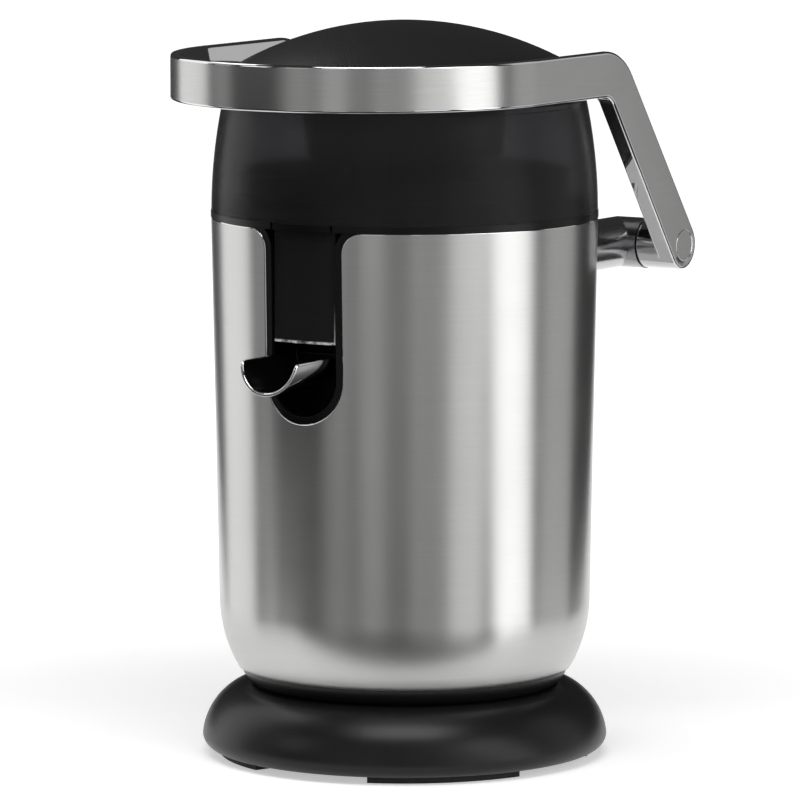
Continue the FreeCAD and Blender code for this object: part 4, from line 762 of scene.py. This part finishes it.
spring = put(spring_mesh, "spring_coil", turned_steel, "machined_steel", "gear_wheel", "return_spring")
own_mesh(spring)

# %% [markdown]
# The photograph looks down a little from the front right with a long lens,
# so upright lines stay upright. The place of the camera was worked out from
# the ovals that the round edges make. The small shift sets the frame.

# %% camera
AZIMUTH = math.radians(31.95)
DISTANCE = 2.603
EYE_HEIGHT = 0.4735
PITCH = math.radians(6.909)
FOCAL_PX = 6320.8
IMAGE_PX = 800
CENTRE_PX = (404.66, 374.1)
SENSOR_MM = 36.0

camera_data = bpy.data.cameras.new("photo camera")
camera_data.sensor_width = SENSOR_MM
camera_data.lens = FOCAL_PX / IMAGE_PX * SENSOR_MM
camera_data.shift_x = (IMAGE_PX / 2 - CENTRE_PX[0]) / IMAGE_PX
camera_data.shift_y = (CENTRE_PX[1] - IMAGE_PX / 2) / IMAGE_PX
camera = bpy.data.objects.new("photo camera", camera_data)
out = Vector((math.sin(AZIMUTH), -math.cos(AZIMUTH), 0))
camera.location = mm(0, AXIS_Y, 0) + out * DISTANCE + Vector((0, 0, EYE_HEIGHT))
camera.rotation_euler = (math.pi / 2 - PITCH, 0, AZIMUTH)
bpy.context.scene.collection.objects.link(camera)
bpy.context.scene.camera = camera
print("camera lens in mm:", round(camera_data.lens, 1))

# %% [markdown]
# Shiny metal shows its surroundings, so the studio is built for what the
# steel should reflect. A tall soft box on the right gives the bright band and
# one on the left draws the left edge. Dimmer panels stand beside and between
# them and give the greys, and three lamps higher up light the bowl, the dome
# and the base. Each lamp is given its brightness, where 1 is the brightness
# of white paper, and the watts follow from its size.

# %% lamps
AIM_Z = 160


def soft_box(name, azimuth_deg, elevation_deg, distance, width, height, brightness, roll_deg=0):
    """A rectangular lamp that faces the middle of the body."""
    lamp = bpy.data.lights.new(name, "AREA")
    lamp.shape = "RECTANGLE"
    lamp.size = width
    lamp.size_y = height
    lamp.energy = brightness * math.pi * width * height
    lamp_object = bpy.data.objects.new(name, lamp)
    a = math.radians(azimuth_deg)
    e = math.radians(elevation_deg)
    aim = mm(0, AXIS_Y, AIM_Z)
    way = Vector((math.sin(a) * math.cos(e), -math.cos(a) * math.cos(e), math.sin(e)))
    lamp_object.location = aim + way * distance
    roll = Quaternion((0, 0, 1), math.radians(roll_deg))
    lamp_object.rotation_euler = (way.to_track_quat("Z", "Y") @ roll).to_euler()
    bpy.context.scene.collection.objects.link(lamp_object)


soft_box("right soft box", 93, 6, 1.5, 0.70, 1.9, 2.10, 24)
soft_box("right wing", 69, 6, 1.6, 0.62, 1.9, 1.00)
soft_box("right near wing", 47, 6, 1.6, 0.62, 1.9, 0.34)
soft_box("right rear panel", 137, 6, 1.5, 0.83, 1.9, 0.54)
soft_box("left rim box", -89, 6, 1.4, 0.90, 1.9, 1.20)
soft_box("left wing", -58, 6, 1.6, 0.35, 1.9, 0.36)
soft_box("front panel", 13, 6, 2.2, 0.55, 1.9, 0.34)
soft_box("front fill", 13, 6, 2.4, 2.6, 1.9, 0.25)
soft_box("front left fill", -11, 6, 1.6, 0.50, 1.9, 0.17)
soft_box("front left panel", -36, 20, 1.6, 0.50, 0.60, 1.5)
soft_box("top front panel", 32, 62, 1.6, 1.2, 0.7, 5.5)
soft_box("top left panel", -92, 50, 1.6, 1.0, 0.45, 2.5)

# %% [markdown]
# The floor is a plain sheet of pale paper. It widens behind the press, and its
# front edge lies just below the picture: upright steel shows what lies in
# front of it and a little below, so a sheet that ran on towards the camera
# would fill the steel with white and hide the lamps.

# %% floor
FLOOR_FRONT = -0.118
FLOOR_REAR = 14.0
FLOOR_HALF_W = 0.27
FLOOR_REAR_HALF_W = 1.9

floor_mesh = bmesh.new()
outline = [(-FLOOR_HALF_W, FLOOR_FRONT), (FLOOR_HALF_W, FLOOR_FRONT),
           (FLOOR_REAR_HALF_W, FLOOR_REAR), (-FLOOR_REAR_HALF_W, FLOOR_REAR)]
floor_mesh.faces.new([floor_mesh.verts.new((x, y, 0)) for x, y in outline])
towards_camera = Matrix.Rotation(AZIMUTH, 3, "Z")
bmesh.ops.rotate(floor_mesh, verts=floor_mesh.verts, cent=(0, 0, 0), matrix=towards_camera)
floor_data = bpy.data.meshes.new("floor")
floor_mesh.to_mesh(floor_data)
floor_mesh.free()
floor = bpy.data.objects.new("floor", floor_data)
bpy.context.scene.collection.objects.link(floor)
print("floor corners:", len(floor_data.vertices))

# %% [markdown]
# The paper glows for the eye, in mirrors and through clear plastic, so the
# background is white, and the lamps still draw the shadow on it. The glow is
# weaker near the press, which paints a soft shade round its foot, also where
# the steel mirrors the paper. A plain grey world stands for the rest of the room.

# %% paper and world
# The low glow at the near end is a painted shade round the press.
SHADED_GLOW_NEAR = (0.25, 0.45)
GLOW_FAR = (1.2, 1.05)
PAPER_CLOUD_MM = 25

paper, tree, shader, coords = start_material("pale paper sweep")
away = add(tree, "ShaderNodeVectorMath", {0: coords}, operation="LENGTH")
clouds = add(tree, "ShaderNodeTexNoise", {"Vector": coords, "Scale": per_metre(PAPER_CLOUD_MM),
                                          "Detail": 2.0})
tone = add(tree, "ShaderNodeMix", {"Factor": clouds.outputs["Fac"],
                                   6: linear("eeeeee"), 7: linear("f2f2f2")}, data_type="RGBA")
path = add(tree, "ShaderNodeLightPath")
seen = add(tree, "ShaderNodeMath", {0: path.outputs["Is Camera Ray"], 1: path.outputs["Is Glossy Ray"]},
           operation="MAXIMUM")
seen = add(tree, "ShaderNodeMath", {0: seen.outputs[0], 1: path.outputs["Is Transmission Ray"]},
           operation="MAXIMUM")
# Weaker glow near the press: a painted shade round its foot.
glow_with_painted_shade = add(tree, "ShaderNodeMapRange", {"Value": away.outputs["Value"],
                                        "From Min": SHADED_GLOW_NEAR[0], "From Max": GLOW_FAR[0],
                                        "To Min": SHADED_GLOW_NEAR[1], "To Max": GLOW_FAR[1]})
glow = add(tree, "ShaderNodeMath", {0: seen.outputs[0], 1: glow_with_painted_shade.outputs[0]}, operation="MULTIPLY")
feed(tree, shader, Base_Color=tone.outputs[2], Emission_Strength=glow.outputs[0])
shader.inputs["Emission Color"].default_value = (1, 1, 1, 1)
shader.inputs["Roughness"].default_value = 0.9
floor_data.materials.append(paper)

world = bpy.data.worlds.new("studio")
world.use_nodes = True
world.node_tree.nodes["Background"].inputs[0].default_value = linear("383838")
world.node_tree.nodes["Background"].inputs[1].default_value = 1.0
bpy.context.scene.world = world
bpy.context.scene.view_settings.view_transform = "Standard"
print("paper and world ready:", paper.name)
